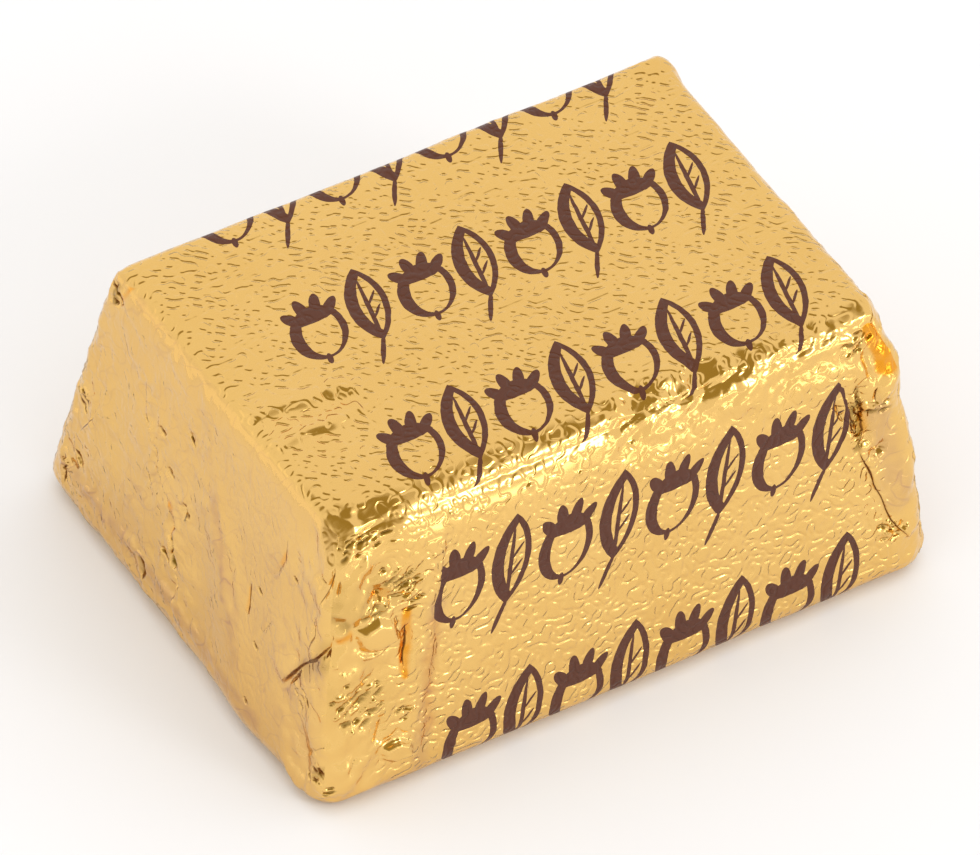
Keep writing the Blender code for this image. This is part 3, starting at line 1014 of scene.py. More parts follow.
    def _cut_box(self) -> bpy.types.Object:
        """Makes the box that the foil is pressed from, cut finely where the foil is crumpled.

        Returns:
            The box.
        """
        block = self.block
        deselect_all()
        bpy.ops.mesh.primitive_cube_add(size=MM, location=(0.0, 0.0, block.height / 2.0 * MM))
        piece = bpy.context.active_object
        piece.name = self.name
        piece.data.name = self.name
        piece.scale = (block.base_length, block.base_width, block.height)
        bpy.ops.object.transform_apply(location=True, rotation=True, scale=True)
        bpy.ops.object.mode_set(mode="EDIT")
        for axis in range(3):
            low = 0.0 if axis == 2 else -block.half[axis]
            self._bisect(axis, low, low + 2.0 * block.half[axis])
        folds = (*self.creases, *self.laps, *self.patches)
        sharp = (*(fold for fold in (*self.creases, *self.laps) if fold.sharp), *self.patches)
        wide, near, close, closest = self.plan.reaches
        rounds: tuple[Callable[[np.ndarray], np.ndarray], ...] = (
            lambda c: self._seen(c) | self._crumpled(c) | self._folded(c, folds, wide),
            lambda c: self._crumpled(c) | self._folded(c, folds, near),
            lambda c: self._folded(c, sharp, close),
            lambda c: self._near_painted_slits(c, closest),
        )
        self._subdivide(piece, lambda c: np.isfinite(c[:, 2]), self.plan.cuts)
        for chosen in rounds:
            self._subdivide(piece, chosen, 1)
        bpy.ops.object.mode_set(mode="OBJECT")
        return piece

    def _bisect(self, axis: int, low: float, high: float) -> None:
        """Cuts the box across one axis: at both margins and evenly between them.

        Args:
            axis: The axis to cut across.
            low: The box's lower end on it, in millimetres.
            high: Its upper end.
        """
        first, last = low + self.plan.margin, high - self.plan.margin
        count = max(1, round((last - first) / self.plan.cell))
        normal = [float(i == axis) for i in range(3)]
        for place in np.linspace(first, last, count + 1):
            bpy.ops.mesh.select_all(action="SELECT")
            point = [place * MM * n for n in normal]
            bpy.ops.mesh.bisect(plane_co=point, plane_no=normal)

    def _subdivide(
        self, piece: bpy.types.Object, chosen: Callable[[np.ndarray], np.ndarray], cuts: int
    ) -> None:
        """Subdivides the faces whose centres are chosen.

        Args:
            piece: The box, in edit mode.
            chosen: Says for each face's centre whether to cut the face.
            cuts: How often to cut each edge.
        """
        bpy.ops.object.mode_set(mode="OBJECT")
        centres = read_vectors(piece.data.polygons, "center") / MM
        select_faces(piece.data, chosen(centres))
        bpy.ops.object.mode_set(mode="EDIT")
        bpy.ops.mesh.select_mode(type="FACE")
        bpy.ops.mesh.subdivide(number_cuts=cuts)

    def _crumpled(self, centres: np.ndarray) -> np.ndarray:
        """Faces where the foil is crumpled deeply enough to need small cells.

        Args:
            centres: The middle of each face of the box.

        Returns:
            True for each such face.
        """
        places = self._places(centres)
        shares = [zone.strength(places) * zone.lift for zone in self.zones]
        return (np.max(shares, axis=0) > self.plan.crumple) & (centres[:, 2] > 1e-3)

    def _folded(
        self, centres: np.ndarray, folds: tuple[Fold | PinchedPatch, ...], reach: float
    ) -> np.ndarray:
        """Chooses faces by the folds beside them.

        Args:
            centres: The middle of each face of the box.
            folds: The folds and pinched patches to look for.
            reach: How near one of them has to be.

        Returns:
            True for each face that lies within reach of one of them, or of a pinch.
        """
        places = self._places(centres)
        folded = np.zeros(len(centres), dtype=bool)
        for fold in folds:
            folded |= fold.near(places, reach)
        for pinch in (*self.grooves, *self.glints):
            away = np.linalg.norm(places.flat(pinch.side) - np.array(pinch.at), axis=1)
            folded |= places.on(pinch.side) & (away < pinch.length + reach * 0.4)
        return folded

    def _near_painted_slits(self, centres: np.ndarray, reach: float) -> np.ndarray:
        """Faces that lie within reach of a fold's painted slit of shade, or of a groove pinched into an end.

        Args:
            centres: The middle of each face of the box.
            reach: How near the painted slit has to be.

        Returns:
            True for each such face.
        """
        places = self._places(centres)
        near_painted_slit = np.zeros(len(centres), dtype=bool)
        for fold in (*self.creases, *self.laps):
            if fold.painted_gape > 0.027:
                near_painted_slit |= fold.near(places, reach + fold.painted_gape)
        for pinch in self.grooves:
            flat = places.creased(pinch.side)
            near_painted_slit |= places.on(pinch.side) & (pinch.slit(flat) < 1.6)
        return near_painted_slit

    def _seen(self, centres: np.ndarray) -> np.ndarray:
        """Faces on the front and the ends, which carry most of the marked folds."""
        front = centres[:, 1] < -self.block.half[1] + 1e-3
        return front | (np.abs(centres[:, 0]) > self.block.half[0] - 1e-3)

    def _places(self, box: np.ndarray) -> Places:
        """Finds where places on the box lie on the block."""
        return Places(self.block, box, self.block.tapered(self.block.rounded(box)))

    def _shape(self, piece: bpy.types.Object) -> Places:
        """Moves the box's vertices onto the block, and presses the folds and crumples into them.

        Args:
            piece: The finely cut box.

        Returns:
            Where the vertices lie on the box, and on the block before anything was pressed in.
        """
        places = self._places(read_vectors(piece.data.vertices, "co") / MM)
        write_places(piece.data, places.at)
        normals = read_vectors(piece.data.vertex_normals, "vector")
        height = self._swell(places)
        for feature in (*self.zones, *self.wrinkles, *self.bands):
            height += feature.height(places)
        pinched, pinch_slits = self._pinched(places)
        calm = np.max([dent.share(places) for dent in self.dents if dent.calm], axis=0)
        height = (height + pinched) * (1.0 - calm) + sum(dent.height(places) for dent in self.dents)
        folds = sum(fold.height(places) for fold in (*self.creases, *self.laps))
        height = (height + folds) * smooth(places.at[:, 2] / 0.7)
        moved = places.at + normals * height[:, None]
        moved[:, 2] += self.shoulder.height(places)
        for facet in self.facets:
            moved = facet.pressed(moved)
        moved[:, 2] = np.maximum(moved[:, 2], self._flap_level(places))
        write_places(piece.data, moved)
        self._mark(piece.data, "grain", self._grain(places) * (1.0 - 0.8 * calm))
        self._mark(piece.data, "covered", self._covered(places))
        self._mark_painted_light(piece.data, places, folds, pinch_slits)
        return places

    def _mark_painted_light(
        self, mesh: bpy.types.Mesh, places: Places, folds: np.ndarray, pinch_slits: np.ndarray
    ) -> None:
        """Marks how strongly each place gets each painted reflection and shade, and how far it is from the
        nearest painted slit of shade.

        Args:
            mesh: The foil's mesh.
            places: Where the foil's vertices lie.
            folds: How far the creases and laps lift each place, in millimetres.
            pinch_slits: How far each place is from a groove's bottom, where 1 is the edge of the painted
                shade.
        """
        end = places.on_ends()
        # Where the painted light starts: painted dull reflection over the ends, painted reflection and shade
        # in fold valleys by their depth, and painted shade in grooves off the ends.
        starts = {
            PaintedLight.ROSY: self._painted_end_reflection(places),
            PaintedLight.AMBER: np.clip(-folds / self.painted_fold_depth - 0.2, 0.0, 1.0),
            PaintedLight.UMBER: np.where(end, 0.0, 0.75 * (1.0 - smooth(pinch_slits - 0.5))),
        }
        for painted_light, start in starts.items():
            lines = [line.share(places) for line in self.painted_lights if line.painted_light is painted_light]
            share = np.max([start, *lines], axis=0)
            if painted_light is PaintedLight.ROSY:
                for side in (Side.LEFT, Side.RIGHT):
                    share = share * smooth((places.to_edge(Side.FRONT, side) + 0.1) / 1.2)
            self._mark(mesh, painted_light.value, share)
        # Painted shade along the slits of folds given a painted gape, and in the grooves on the ends.
        slits = [fold.slit(places) for fold in (*self.creases, *self.laps) if fold.painted_gape > 0.0]
        nearest = np.min([np.where(end, pinch_slits, FAR), *slits], axis=0)
        self._mark(mesh, "slit", np.minimum(nearest, self.slit_limit))

    def _pinched(self, places: Places) -> tuple[np.ndarray, np.ndarray]:
        """Measures all the pinches together.

        Args:
            places: Where the foil's vertices lie.

        Returns:
            How far the pinches lift the foil at each place, and how far each place is from a groove's
            bottom, where 1 is the edge of the painted shade.
        """
        pinches = [pinch for patch in self.patches for pinch in patch.pinches()]
        height = np.zeros(len(places.at))
        slit = np.full(len(places.at), FAR)
        for side in Side:
            on_side = places.on(side)
            flat = places.creased(side)[on_side]
            for pinch in (*pinches, *self.grooves, *self.glints):
                if pinch.side is side:
                    height[on_side] += pinch.height(flat)
                    slit[on_side] = np.minimum(slit[on_side], pinch.slit(flat))
        return height, slit

    def _painted_end_reflection(self, places: Places) -> np.ndarray:
        """How much painted dull reflection the ends get, where the foil lies double: unevenly, and more so
        low down.

        Args:
            places: Where the foil's vertices lie.

        Returns:
            A share from 0 to 1 for each place.
        """
        end = places.on_ends()
        low = 1.0 - places.box[:, 2] / self.block.height
        uneven = 0.5 + 0.5 * FoilNoise(91).soft(places.at, 2.4)
        return np.where(end, 0.1 + 0.04 * low + 0.14 * uneven, 0.0)

    def _flap_level(self, places: Places) -> np.ndarray:
        """How high the underside lies: the front flap on the ground, the back one over it, then the ends.

        Args:
            places: Where the foil's vertices lie.

        Returns:
            A height in millimetres for each place.
        """
        across, back = places.at[:, 0], places.at[:, 1]
        wander = 0.25 * FoilNoise(23).soft(places.at, 3.0)
        half = self.block.half[0] - 0.9
        front = smooth((3.9 + wander - back) / 0.3)
        front *= smooth((half - 0.22 * (back + 11.0) - np.abs(across) + wander) / 0.3)
        rear = smooth((half - 0.3 * (11.0 - back) - np.abs(across) + wander) / 0.3)
        return self.layer * (2.0 - front - np.maximum(rear, front))

    def _grain(self, places: Places) -> np.ndarray:
        """How deep the embossed grain is at each place, against its depth on the top.

        Args:
            places: Where the foil's vertices lie.

        Returns:
            A share for each place.
        """
        grain = np.ones(len(places.at))
        grain[places.on(Side.FRONT) | places.on(Side.BACK)] = self.side_grain
        grain[places.on_ends()] = self.end_grain
        kinds = (self.edge_grain, self.crumpled_grain, self.pleat_grain)
        for zone, left in zip(self.zones, kinds):
            share = zone.strength(places) * ~places.on(Side.LEFT)
            if zone is self.zones[0]:
                share *= places.on(Side.FRONT)
            grain += (left - grain) * share
        grain *= 1.0 - 0.7 * bell(places.to_edge(Side.FRONT, Side.TOP) / 1.1)
        return grain * (0.45 + 0.55 * smooth(places.to_edge(Side.LEFT, Side.TOP) / 1.2))

    def _covered(self, places: Places) -> np.ndarray:
        """How far past a pleat's edge each place lies, where a pleat or an end hides the print.

        Args:
            places: Where the foil's vertices lie.

        Returns:
            A distance for each place, positive where the print is hidden.
        """
        covered = np.where(places.on_ends() | places.on(Side.BASE), 1.0, -1.0)
        for pleat in self.laps[:2]:
            gap, _ = measure_to_line(places.creased(pleat.side), pleat.line)
            on_side = places.on(pleat.side)
            covered[on_side] = np.maximum(covered[on_side], gap[on_side])
        return covered

    def _mark(self, mesh: bpy.types.Mesh, name: str, values: np.ndarray) -> None:
        """Keeps one number for each vertex, for the foil's material to read."""
        mesh.attributes.new(name, "FLOAT", "POINT").data.foreach_set("value", values.astype(np.float32))

    def _swell(self, places: Places) -> np.ndarray:
        """The slow unevenness of the sides, the pressed front edge and the ridge down each end.

        Args:
            places: Where the foil's vertices lie.

        Returns:
            A height in millimetres for each place.
        """
        height = self.swell * FoilNoise(5).soft(places.at, 5.0)
        height += self.ripple * FoilNoise(6).soft(places.at, 1.9)
        dinted = self.edge_dint * (1.0 + 0.55 * FoilNoise(9).soft(places.at, 2.6))
        height -= dinted * bell(places.to_edge(Side.FRONT, Side.TOP) / 1.3)
        upper = smooth((places.box[:, 2] - 3.5) / 3.5)
        height += self.corner_bulge * upper * bell(places.to_edge(Side.FRONT, Side.RIGHT) / 2.4)
        end = places.on_ends()
        level = places.flat(Side.LEFT)[:, 1]
        middle = -0.9 - (9.5 - level) * 0.5
        width = 0.7 + (12.0 - level) * 0.12
        fade = smooth((10.5 - level) / 3.0)
        ridge = self.end_ridge * fade * bell((places.at[:, 1] - middle) / width)
        return height + np.where(end, ridge, 0.0)

    def _lay_print_map(self, piece: bpy.types.Object, places: Places) -> None:
        """Gives the foil its print map: U along the length, V round the block from front to back.

        Args:
            piece: The foil.
            places: Where the foil's vertices lie.
        """
        block = self.block
        slope = block.slant(Side.FRONT)
        up = places.box[:, 2] / block.height * slope
        over = places.at[:, 1].copy()
        on_front = places.on(Side.FRONT)
        on_back = places.on(Side.BACK)
        over[on_front] = -block.top_width / 2.0 - (slope - up[on_front])
        over[on_back] = block.top_width / 2.0 + (slope - up[on_back])
        under = places.on(Side.BASE)
        over[under] = -block.top_width / 2.0 - slope - (places.at[under, 1] + block.half[1])
        along = places.at[:, 0]
        layer = piece.data.uv_layers.active or piece.data.uv_layers.new(name="print")
        layer.name = "print"
        corners = np.zeros(len(piece.data.loops), dtype=np.int32)
        piece.data.loops.foreach_get("vertex_index", corners)
        flat = np.stack([along[corners], over[corners]], axis=1) * MM
        layer.data.foreach_set("uv", flat.astype(np.float32).ravel())


def deselect_all() -> None:
    """Deselects every object, the CAD's nodes among them."""
    if bpy.context.mode != "OBJECT":
        bpy.ops.object.mode_set(mode="OBJECT")
    bpy.ops.object.select_all(action="DESELECT")


def read_vectors(items: bpy.types.bpy_prop_collection, name: str) -> np.ndarray:
    """Reads one vector from each item of a mesh, one a row.

    Args:
        items: The vertices, normals or faces.
        name: The name of the vector.

    Returns:
        The vectors.
    """
    flat = np.zeros(len(items) * 3)
    items.foreach_get(name, flat)
    return flat.reshape(-1, 3)


def write_places(mesh: bpy.types.Mesh, places: np.ndarray) -> None:
    """Moves a mesh's vertices to places given in millimetres."""
    mesh.vertices.foreach_set("co", (places * MM).astype(np.float32).ravel())
    mesh.update()


def select_faces(mesh: bpy.types.Mesh, chosen: np.ndarray) -> None:
    """Selects the chosen faces of a mesh, and nothing else of it.

    Args:
        mesh: The mesh.
        chosen: True for each face to select.
    """
    mesh.vertices.foreach_set("select", np.zeros(len(mesh.vertices), dtype=bool))
    mesh.edges.foreach_set("select", np.zeros(len(mesh.edges), dtype=bool))
    mesh.polygons.foreach_set("select", chosen.astype(bool))
    mesh.update()


def linear(code: str) -> tuple[float, float, float, float]:
    """Turns an sRGB hex code to a linear colour.

    Args:
        code: Six hex digits, with or without a leading hash.

    Returns:
        Red, green, blue and an alpha of 1.
    """
    parts = [int(code.lstrip("#")[i : i + 2], 16) / 255.0 for i in (0, 2, 4)]
    curved = [p / 12.92 if p <= 0.04045 else ((p + 0.055) / 1.055) ** 2.4 for p in parts]
    return (*curved, 1.0)


def add_node(tree: bpy.types.NodeTree, kind: str, links: dict | None = None, **settings) -> bpy.types.Node:
    """Adds a node to a tree, with its settings and what feeds it.

    Args:
        tree: The tree that gets the node.
        kind: The node's type, without its ShaderNode prefix.
        links: What goes into each input, by name or number: an output socket, or a value.
        **settings: The node's own properties.

    Returns:
        The new node.
    """
    node = tree.nodes.new("ShaderNode" + kind)
    for name, value in settings.items():
        setattr(node, name, value)
    for key, source in (links or {}).items():
        if isinstance(source, bpy.types.NodeSocket):
            tree.links.new(source, node.inputs[key])
        else:
            node.inputs[key].default_value = source
    return node


@dataclass(frozen=True)
class Oval:
    """An oval of the print, in millimetres from the start of a repeat and from its row's foot."""

    centre: tuple[float, float]
    radii: tuple[float, float]
    turn: float = 0.0

    def reach(self, tree: bpy.types.NodeTree, at: bpy.types.NodeSocket) -> bpy.types.NodeSocket:
        """How far out of the oval's middle each place is, where 1 is on its outline.

        Args:
            tree: The node tree that gets the nodes.
            at: Where each place lies, as a socket.

        Returns:
            The socket that holds it.
        """
        placing = {
            "Vector": at,
            "Location": (*self.centre, 0.0),
            "Rotation": (0.0, 0.0, math.radians(self.turn)),
            "Scale": (*self.radii, 1.0),
        }
        drawn = add_node(tree, "Mapping", placing, vector_type="TEXTURE")
        return add_node(tree, "VectorMath", {0: drawn.outputs[0]}, operation="LENGTH").outputs["Value"]


@dataclass(frozen=True)
class Stroke:
    """An inked shape: where all its ovals overlap, less where all of its gap's ovals overlap."""

    ovals: tuple[Oval, ...]
    gap: tuple[Oval, ...] = ()

    def ink(self, tree: bpy.types.NodeTree, at: bpy.types.NodeSocket) -> bpy.types.NodeSocket:
        """1 where the stroke is inked and 0 elsewhere.

        Args:
            tree: The node tree that gets the nodes.
            at: Where each place lies, as a socket.

        Returns:
            The socket that holds it.
        """
        inside = self._inside(tree, at, self.ovals)
        if not self.gap:
            return inside
        bare = self._inside(tree, at, self.gap)
        return add_node(tree, "Math", {0: inside, 1: bare}, operation="SUBTRACT", use_clamp=True).outputs[0]

    def _inside(
        self, tree: bpy.types.NodeTree, at: bpy.types.NodeSocket, ovals: tuple[Oval, ...]
    ) -> bpy.types.NodeSocket:
        """1 inside every one of the ovals."""
        widest = joined(tree, [oval.reach(tree, at) for oval in ovals], "MAXIMUM")
        return add_node(tree, "Math", {0: widest, 1: 1.0}, operation="LESS_THAN").outputs[0]


def joined(
    tree: bpy.types.NodeTree, values: list[bpy.types.NodeSocket], operation: str
) -> bpy.types.NodeSocket:
    """Combines several numbers by one operation, such as their maximum.

    Args:
        tree: The node tree that gets the nodes.
        values: The sockets to combine.
        operation: The Math node's operation.

    Returns:
        The socket that holds the result.
    """
    result = values[0]
    for value in values[1:]:
        result = add_node(tree, "Math", {0: result, 1: value}, operation=operation).outputs[0]
    return result


@dataclass(frozen=True)
class NutAndLeafPrint:
    """Rows of hazelnuts and leaves, drawn with a broad pen: thick down the sides and thin over the ends."""

    repeat: float = 5.25
    repeats: int = 4
    start: float = -9.75
    row_pitch: float = 7.85
    drop: float = 1.6
    slant: float = 12.0
    bleed: float = 0.06

    nut: tuple[Stroke, ...] = (
        Stroke((Oval((1.5, 1.5), (1.32, 1.5)),), (Oval((1.62, 1.46), (0.86, 1.3)),)),
        Stroke((Oval((1.5, 1.5), (1.34, 1.52)), Oval((1.5, 3.1), (2.0, 1.0)))),
        Stroke((Oval((0.62, 2.62), (0.27, 0.62), 42.0),)),
        Stroke((Oval((1.18, 2.95), (0.27, 0.68), 14.0),)),
        Stroke((Oval((1.82, 2.95), (0.27, 0.68), -14.0),)),
        Stroke((Oval((2.38, 2.62), (0.27, 0.62), -42.0),)),
        Stroke((Oval((1.46, -0.02), (0.14, 0.3)),)),
    )
    leaf: tuple[Stroke, ...] = (
        Stroke(
            (Oval((2.1, 2.0), (2.9, 2.9)), Oval((6.0, 2.0), (2.9, 2.9))),
            (Oval((1.8, 2.0), (2.9, 2.9)), Oval((6.6, 2.0), (2.9, 2.9))),
        ),
        Stroke((Oval((4.05, 1.6), (0.11, 1.9)),)),
        Stroke((Oval((4.32, 2.25), (0.07, 0.45), -38.0),)),
        Stroke((Oval((4.32, 1.45), (0.07, 0.45), -38.0),)),
        Stroke((Oval((3.8, -0.65), (0.12, 0.8), -20.0),)),
    )

    def ink(self, tree: bpy.types.NodeTree) -> bpy.types.NodeSocket:
        """Draws the print.

        Args:
            tree: The foil's node tree.

        Returns:
            1 where the foil is inked and 0 elsewhere.
        """
        chart = add_node(tree, "UVMap", uv_map="print").outputs["UV"]
        flat = add_node(tree, "VectorMath", {0: chart, 1: (1.0 / MM,) * 3}, operation="MULTIPLY").outputs[0]
        ragged = add_node(tree, "TexNoise", {"Vector": flat, "Scale": 2.2, "Detail": 1.0}).outputs["Color"]
        bled = {0: ragged, 1: (self.bleed,) * 3, 2: flat}
        nudge = add_node(tree, "VectorMath", bled, operation="MULTIPLY_ADD")
        place = add_node(tree, "SeparateXYZ", {0: nudge.outputs[0]})
        row = {0: place.outputs["Y"], 1: self.row_pitch - self.drop, 2: -self.drop}
        up = add_node(tree, "Math", row, operation="WRAP").outputs[0]
        lean = -math.tan(math.radians(self.slant))
        upright = add_node(
            tree, "Math", {0: up, 1: lean, 2: place.outputs["X"]}, operation="MULTIPLY_ADD"
        ).outputs[0]
        along = add_node(tree, "Math", {0: upright, 1: self.start}, operation="SUBTRACT").outputs[0]
        length = self.repeat * self.repeats
        in_row = add_node(
            tree, "Math", {0: along, 1: length / 2.0, 2: length / 2.0}, operation="COMPARE"
        ).outputs[0]
        across = add_node(tree, "Math", {0: along, 1: self.repeat, 2: 0.0}, operation="WRAP").outputs[0]
        at = add_node(tree, "CombineXYZ", {0: across, 1: up}).outputs[0]
        strokes = [stroke.ink(tree, at) for stroke in (*self.nut, *self.leaf)]
        drawn = joined(tree, strokes, "MAXIMUM")
        covered = add_node(tree, "Attribute", attribute_name="covered").outputs["Fac"]
        shows = add_node(tree, "Math", {0: covered, 1: 0.0}, operation="LESS_THAN").outputs[0]
        return joined(tree, [drawn, in_row, shows], "MULTIPLY")


@dataclass(frozen=True)
class GoldFoil:
    """Household-thin aluminium foil with a gold lacquer, embossed with a fine pebble grain and printed.

    The lacquer tints the metal's reflection, so the gold is a metal colour and not a paint. The rollers
    that emboss the foil leave it full of shallow pebbles about a third of a millimetre apart, which break
    every reflection into short dashes. The brown ink lies on the lacquer as a thin film, duller than the
    foil.
    """

    name: str = "gold_lacquered_aluminium_foil"
    # The lacquer, and what it looks like in the cloudy parts.
    gold: str = "F0C679"
    shade: str = "E8BB6B"
    # Painted reflection and shade of folded foil: pinkish dull reflection, orange fold reflection, brown fold
    # shade, olive-brown hollow shade, and the dark of a painted slit.
    rosy: str = "C79C72"
    amber: str = "E99B2A"
    brown: str = "5E3A14"
    umber: str = "725519"
    painted_gape: str = "74461A"
    ink: str = "583223"
    roughness: float = 0.15
    ink_roughness: float = 0.4
    # Millimetres between pebbles and between the painted lines of smoothed-down wrinkles, and the pebbles'
    # relief. The real pebbles are a little closer, and are drawn this coarse so that they show.
    spacing: float = 0.48
    painted_wrinkle_spacing: float = 1.7
    groove: float = 0.15
    depth: float = 0.036
    pattern: NutAndLeafPrint = field(default_factory=NutAndLeafPrint)

    def make(self) -> bpy.types.Material:
        """Makes the material.

        Returns:
            The foil's material, ready to be put on the wrapper.
        """
        material = bpy.data.materials.new(self.name)
        material.use_nodes = True
        tree = material.node_tree
        tree.nodes.clear()
        at = add_node(tree, "TexCoord").outputs["Object"]
        ink = self.pattern.ink(tree)
        cloud = add_node(tree, "TexNoise", {"Vector": at, "Scale": 1.0 / (4.0 * MM), "Detail": 2.0})
        lacquered = {0: cloud.outputs["Fac"], 6: linear(self.gold), 7: linear(self.shade)}
        lacquer = add_node(tree, "Mix", lacquered, data_type="RGBA")
        marks = {
            name: add_node(tree, "Attribute", attribute_name=name).outputs["Fac"]
            for name in ("slit", *(painted_light.value for painted_light in PaintedLight))
        }
        amber, slit = marks[PaintedLight.AMBER.value], marks["slit"]
        once = add_node(tree, "MapRange", {"Value": amber, "From Max": 0.5}).outputs[0]
        twice = add_node(tree, "MapRange", {"Value": amber, "From Min": 0.5}).outputs[0]
        near_painted_slit = add_node(tree, "MapRange", {"Value": slit, "From Min": 1.3, "From Max": 0.6}).outputs[0]
        # The painted wrinkle lines strengthen the painted dull reflection along them.
        lines = self._painted_wrinkle_lines(tree, at)
        more = add_node(tree, "Math", {0: lines, 1: 1.3, 2: 1.0}, operation="MULTIPLY_ADD").outputs[0]
        rosy = joined(tree, [marks[PaintedLight.ROSY.value], more], "MULTIPLY")
        shown = lacquer.outputs[2]
        # Each layer of painted reflection and shade lies over the ones before it, with the ink on top.
        layers = (
            (rosy, self.rosy),
            (once, self.amber),
            (twice, self.brown),
            (marks[PaintedLight.UMBER.value], self.umber),
            (near_painted_slit, self.painted_gape),
            (ink, self.ink),
        )
        for share, tone in layers:
            blend = {0: share, 6: shown, 7: linear(tone)}
            shown = add_node(tree, "Mix", blend, data_type="RGBA").outputs[2]
        metal = add_node(tree, "Math", {0: 1.0, 1: ink}, operation="SUBTRACT")
        dulled = {"Value": ink, "To Min": self.roughness, "To Max": self.ink_roughness}
        dull = add_node(tree, "MapRange", dulled)
        shader = add_node(
            tree,
            "BsdfPrincipled",
            {
                "Base Color": shown,
                "Metallic": metal.outputs[0],
                "Roughness": dull.outputs[0],
                "Specular IOR Level": 0.25,
                "Normal": self._emboss(tree, at).outputs["Normal"],
            },
        )
        add_node(tree, "OutputMaterial", {"Surface": shader.outputs["BSDF"]})
        return material

    def _off_level(
        self,
        tree: bpy.types.NodeTree,
        at: bpy.types.NodeSocket,
        size: float,
        detail: float,
        bent: float = 0.0,
    ) -> bpy.types.NodeSocket:
        """How far a noise is from its middle level, which lies along closed curves.

        Args:
            tree: The node tree that gets the nodes.
            at: Where each place lies, as a socket.
            size: How far apart the curves lie, in millimetres.
            detail: The noise's finer octaves.
            bent: How much the noise bends itself.

        Returns:
            The socket that holds it.
        """
        inputs = {"Vector": at, "Scale": 1.0 / (size * MM), "Detail": detail, "Distortion": bent}
        noise = add_node(tree, "TexNoise", inputs).outputs["Fac"]
        off = add_node(tree, "Math", {0: noise, 1: 0.5}, operation="SUBTRACT").outputs[0]
        return add_node(tree, "Math", {0: off}, operation="ABSOLUTE").outputs[0]

    def _painted_wrinkle_lines(self, tree: bpy.types.NodeTree, at: bpy.types.NodeSocket) -> bpy.types.NodeSocket:
        """1 along thin curved lines of painted reflection and shade, where smoothed-down wrinkles mirror each
        other, and 0 elsewhere.

        Args:
            tree: The node tree that gets the nodes.
            at: Where each place lies, as a socket.

        Returns:
            The socket that holds it.
        """
        away = self._off_level(tree, at, self.painted_wrinkle_spacing, 1.0, 0.6)
        drawn = {"Value": away, "From Max": 0.02, "To Min": 1.0, "To Max": 0.0}
        return add_node(tree, "MapRange", drawn).outputs[0]

    def _emboss(self, tree: bpy.types.NodeTree, at: bpy.types.NodeSocket) -> bpy.types.Node:
        """The embossed grain: soft pebbles, with grooves that follow the level lines of a noise.

        Args:
            tree: The node tree that gets the nodes.
            at: Where each place lies, as a socket.

        Returns:
            The Bump node.
        """
        away = self._off_level(tree, at, self.spacing, 0.0)
        pebbles = add_node(
            tree, "MapRange", {"Value": away, "From Max": self.groove}, interpolation_type="SMOOTHSTEP"
        )
        left = add_node(tree, "Attribute", attribute_name="grain").outputs["Fac"]
        depth = add_node(tree, "Math", {0: left, 1: self.depth * MM}, operation="MULTIPLY")
        return add_node(tree, "Bump", {"Height": pebbles.outputs[0], "Distance": depth.outputs[0]})


@dataclass(frozen=True)
class TentPart:
    """A part of the light tent that differs: its colour, the way to its middle, and how it fades out.

    Inner and outer are cosines of the angle from its middle. Squash makes it that much lower than wide.
    """

    colour: str
    azimuth: float
    elevation: float
    inner: float
    outer: float
    squash: float = 1.0

    def share(self, tree: bpy.types.NodeTree, towards: bpy.types.NodeSocket) -> bpy.types.NodeSocket:
        """How much of this part is seen in each direction, from 0 to 1.

        Args:
            tree: The node tree that gets the nodes.
            towards: The direction that is looked in.

        Returns:
            The socket that holds it.
        """
        middle = Vector(direction(self.azimuth, self.elevation))
        stretch = (1.0, 1.0, self.squash)
        middle = Vector(a * b for a, b in zip(middle, stretch)).normalized()
        scaled = add_node(tree, "VectorMath", {0: towards, 1: stretch}, operation="MULTIPLY")
        unit = add_node(tree, "VectorMath", {0: scaled.outputs[0]}, operation="NORMALIZE")
        along = add_node(tree, "VectorMath", {0: unit.outputs[0], 1: tuple(middle)}, operation="DOT_PRODUCT")
        return add_node(
            tree,
            "MapRange",
            {"Value": along.outputs["Value"], "From Min": self.outer, "From Max": self.inner},
            interpolation_type="SMOOTHSTEP",
        ).outputs[0]


@dataclass(frozen=True)
class Panel:
    """A flat light that looks at the middle of the floor, with lengths in metres and its power in watts.

    The foil doesn't mirror a panel that isn't mirrored, which then lights the floor alone.
    """

    name: str
    azimuth: float
    elevation: float
    away: float
    size: tuple[float, float]
    power: float
    mirrored: bool = True

    def hang(self) -> None:
        """Adds the light."""
        towards = Vector(direction(self.azimuth, self.elevation))
        bpy.ops.object.light_add(type="AREA", location=towards * self.away)
        light = bpy.context.active_object
        light.name = self.name
        light.rotation_euler = towards.to_track_quat("Z", "Y").to_euler()
        light.visible_glossy = self.mirrored
        light.data.shape = "RECTANGLE"
        light.data.size, light.data.size_y = self.size
        light.data.energy = self.power


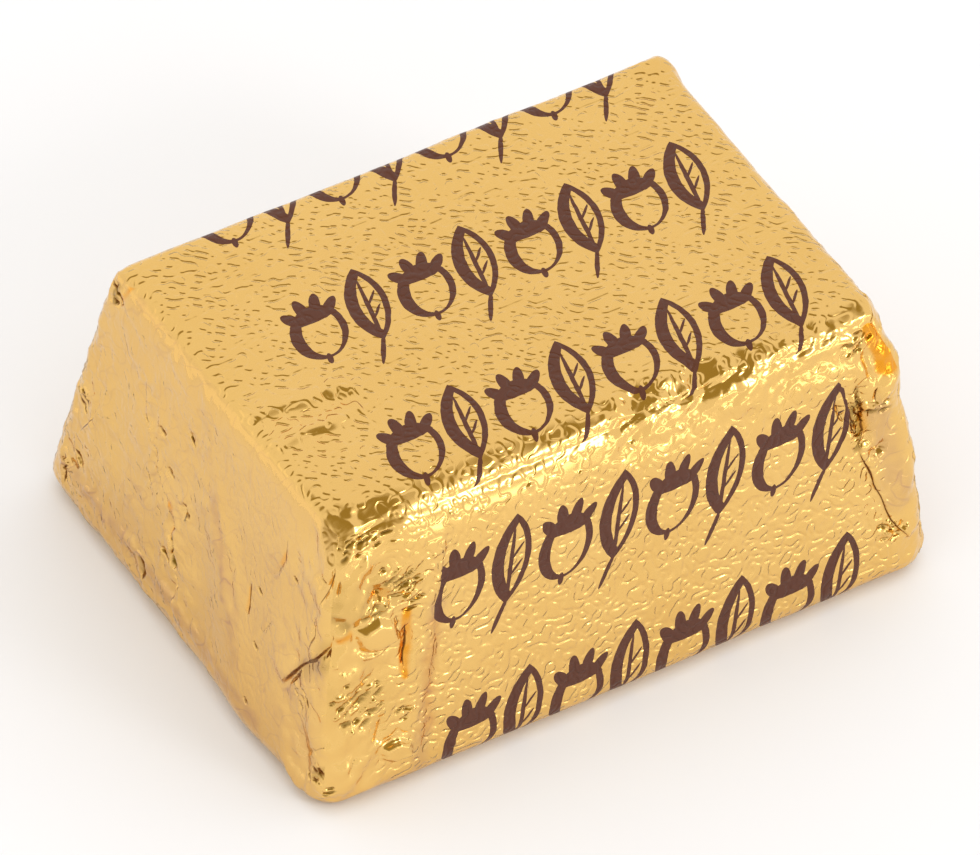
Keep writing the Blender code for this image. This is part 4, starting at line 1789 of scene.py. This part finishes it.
@dataclass(frozen=True)
class Studio:
    """A plain light tent round a pale floor, with its panels of light and the camera.

    The softbox and the low strip brighten the front, and the small bright flash core gives the sparkles.
    """

    floor_size: float = 1200.0
    card: str = "EFF1F9"
    wall: str = "EFEDEA"
    brightness: float = 1.17
    aim: tuple[float, float, float] = (0.0, 0.0, 7.0)
    azimuth: float = -33.307
    elevation: float = 45.556
    roll: float = 2.982
    distance: float = 611.1
    lens: float = 530.0
    aside: float = -0.117
    below: float = -0.911
    panels: tuple[Panel, ...] = (
        Panel("softbox", 28.0, 30.0, 0.55, (0.2, 0.14), 0.17),
        Panel("low_strip", 32.0, 6.0, 0.5, (0.4, 0.05), 0.13),
        Panel("flash_core", 27.0, 31.0, 0.5, (0.11, 0.08), 0.22),
        Panel("ceiling_bank", -33.307, 80.0, 1.0, (1.0, 1.0), 4.5, mirrored=False),
    )
    # The dim warm opening over the camera, whose mirror image makes the dashes olive, and the brightest
    # wall, at the left end.
    tent_parts: tuple[TentPart, ...] = (
        TentPart("9C8D57", -33.307, 72.0, 0.9, 0.72),
        TentPart("FFFCF4", -128.0, 8.0, 0.93, 0.7, squash=2.5),
    )

    def build(self) -> None:
        """Sets up the floor, the light and the camera."""
        self._lay_floor()
        self._light_world()
        for panel in self.panels:
            panel.hang()
        self._set_camera()
        bpy.context.scene.view_settings.view_transform = "Standard"

    def _lay_floor(self) -> None:
        """Lays the pale floor just under the foil."""
        deselect_all()
        bpy.ops.mesh.primitive_plane_add(size=self.floor_size * MM, location=(0.0, 0.0, -0.02 * MM))
        floor = bpy.context.active_object
        floor.name = "pale_floor"
        material = bpy.data.materials.new("white_card")
        material.use_nodes = True
        shader = material.node_tree.nodes["Principled BSDF"]
        shader.inputs["Base Color"].default_value = linear(self.card)
        shader.inputs["Roughness"].default_value = 0.8
        floor.data.materials.append(material)

    def _light_world(self) -> None:
        """Lights the tent: its even walls, and the parts of it that differ."""
        world = bpy.data.worlds.new("light_tent")
        bpy.context.scene.world = world
        world.use_nodes = True
        tree = world.node_tree
        tree.nodes.clear()
        towards = add_node(tree, "TexCoord").outputs["Generated"]
        shown = add_node(tree, "RGB").outputs[0]
        shown.default_value = linear(self.wall)
        for part in self.tent_parts:
            blend = {0: part.share(tree, towards), 6: shown, 7: linear(part.colour)}
            shown = add_node(tree, "Mix", blend, data_type="RGBA").outputs[2]
        lit = add_node(tree, "Background", {"Color": shown, "Strength": self.brightness})
        add_node(tree, "OutputWorld", {"Surface": lit.outputs[0]})

    def _set_camera(self) -> None:
        """Places the camera at the photo's viewing angle, and turns it by the photo's slight roll."""
        back = Vector(direction(self.azimuth, self.elevation))
        right = (-back).cross(Vector((0.0, 0.0, 1.0))).normalized()
        up = right.cross(-back)
        aim = Vector(self.aim) + right * self.aside + up * self.below
        roll = math.radians(self.roll)
        level = right * math.cos(roll) + up * math.sin(roll)
        upright = up * math.cos(roll) - right * math.sin(roll)
        data = bpy.data.cameras.new("camera")
        data.lens = self.lens
        data.clip_start = 0.01
        camera = bpy.data.objects.new("camera", data)
        bpy.context.scene.collection.objects.link(camera)
        turn = Matrix((level, upright, back)).transposed().to_4x4()
        camera.matrix_world = Matrix.Translation((aim + back * self.distance) * MM) @ turn
        bpy.context.scene.camera = camera


def direction(azimuth: float, elevation: float) -> tuple[float, float, float]:
    """The way to a place seen from the object, by degrees from the front (-Y) and above the floor.

    Args:
        azimuth: Degrees from the front, positive to the right.
        elevation: Degrees above the floor.

    Returns:
        A unit vector.
    """
    turn, rise = math.radians(azimuth), math.radians(elevation)
    return (math.sin(turn) * math.cos(rise), -math.cos(turn) * math.cos(rise), math.sin(rise))


def main() -> None:
    """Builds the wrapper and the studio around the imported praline."""
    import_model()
    wrapper = FoilWrapper()
    foil = wrapper.build()
    foil.data.materials.append(GoldFoil().make())
    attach(foil, "root")
    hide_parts(NODE)
    log.info("%s: %d faces", foil.name, len(foil.data.polygons))
    Studio().build()


if __name__ == "__main__":
    logging.basicConfig(level=logging.INFO, format="%(name)s: %(message)s")
    main()
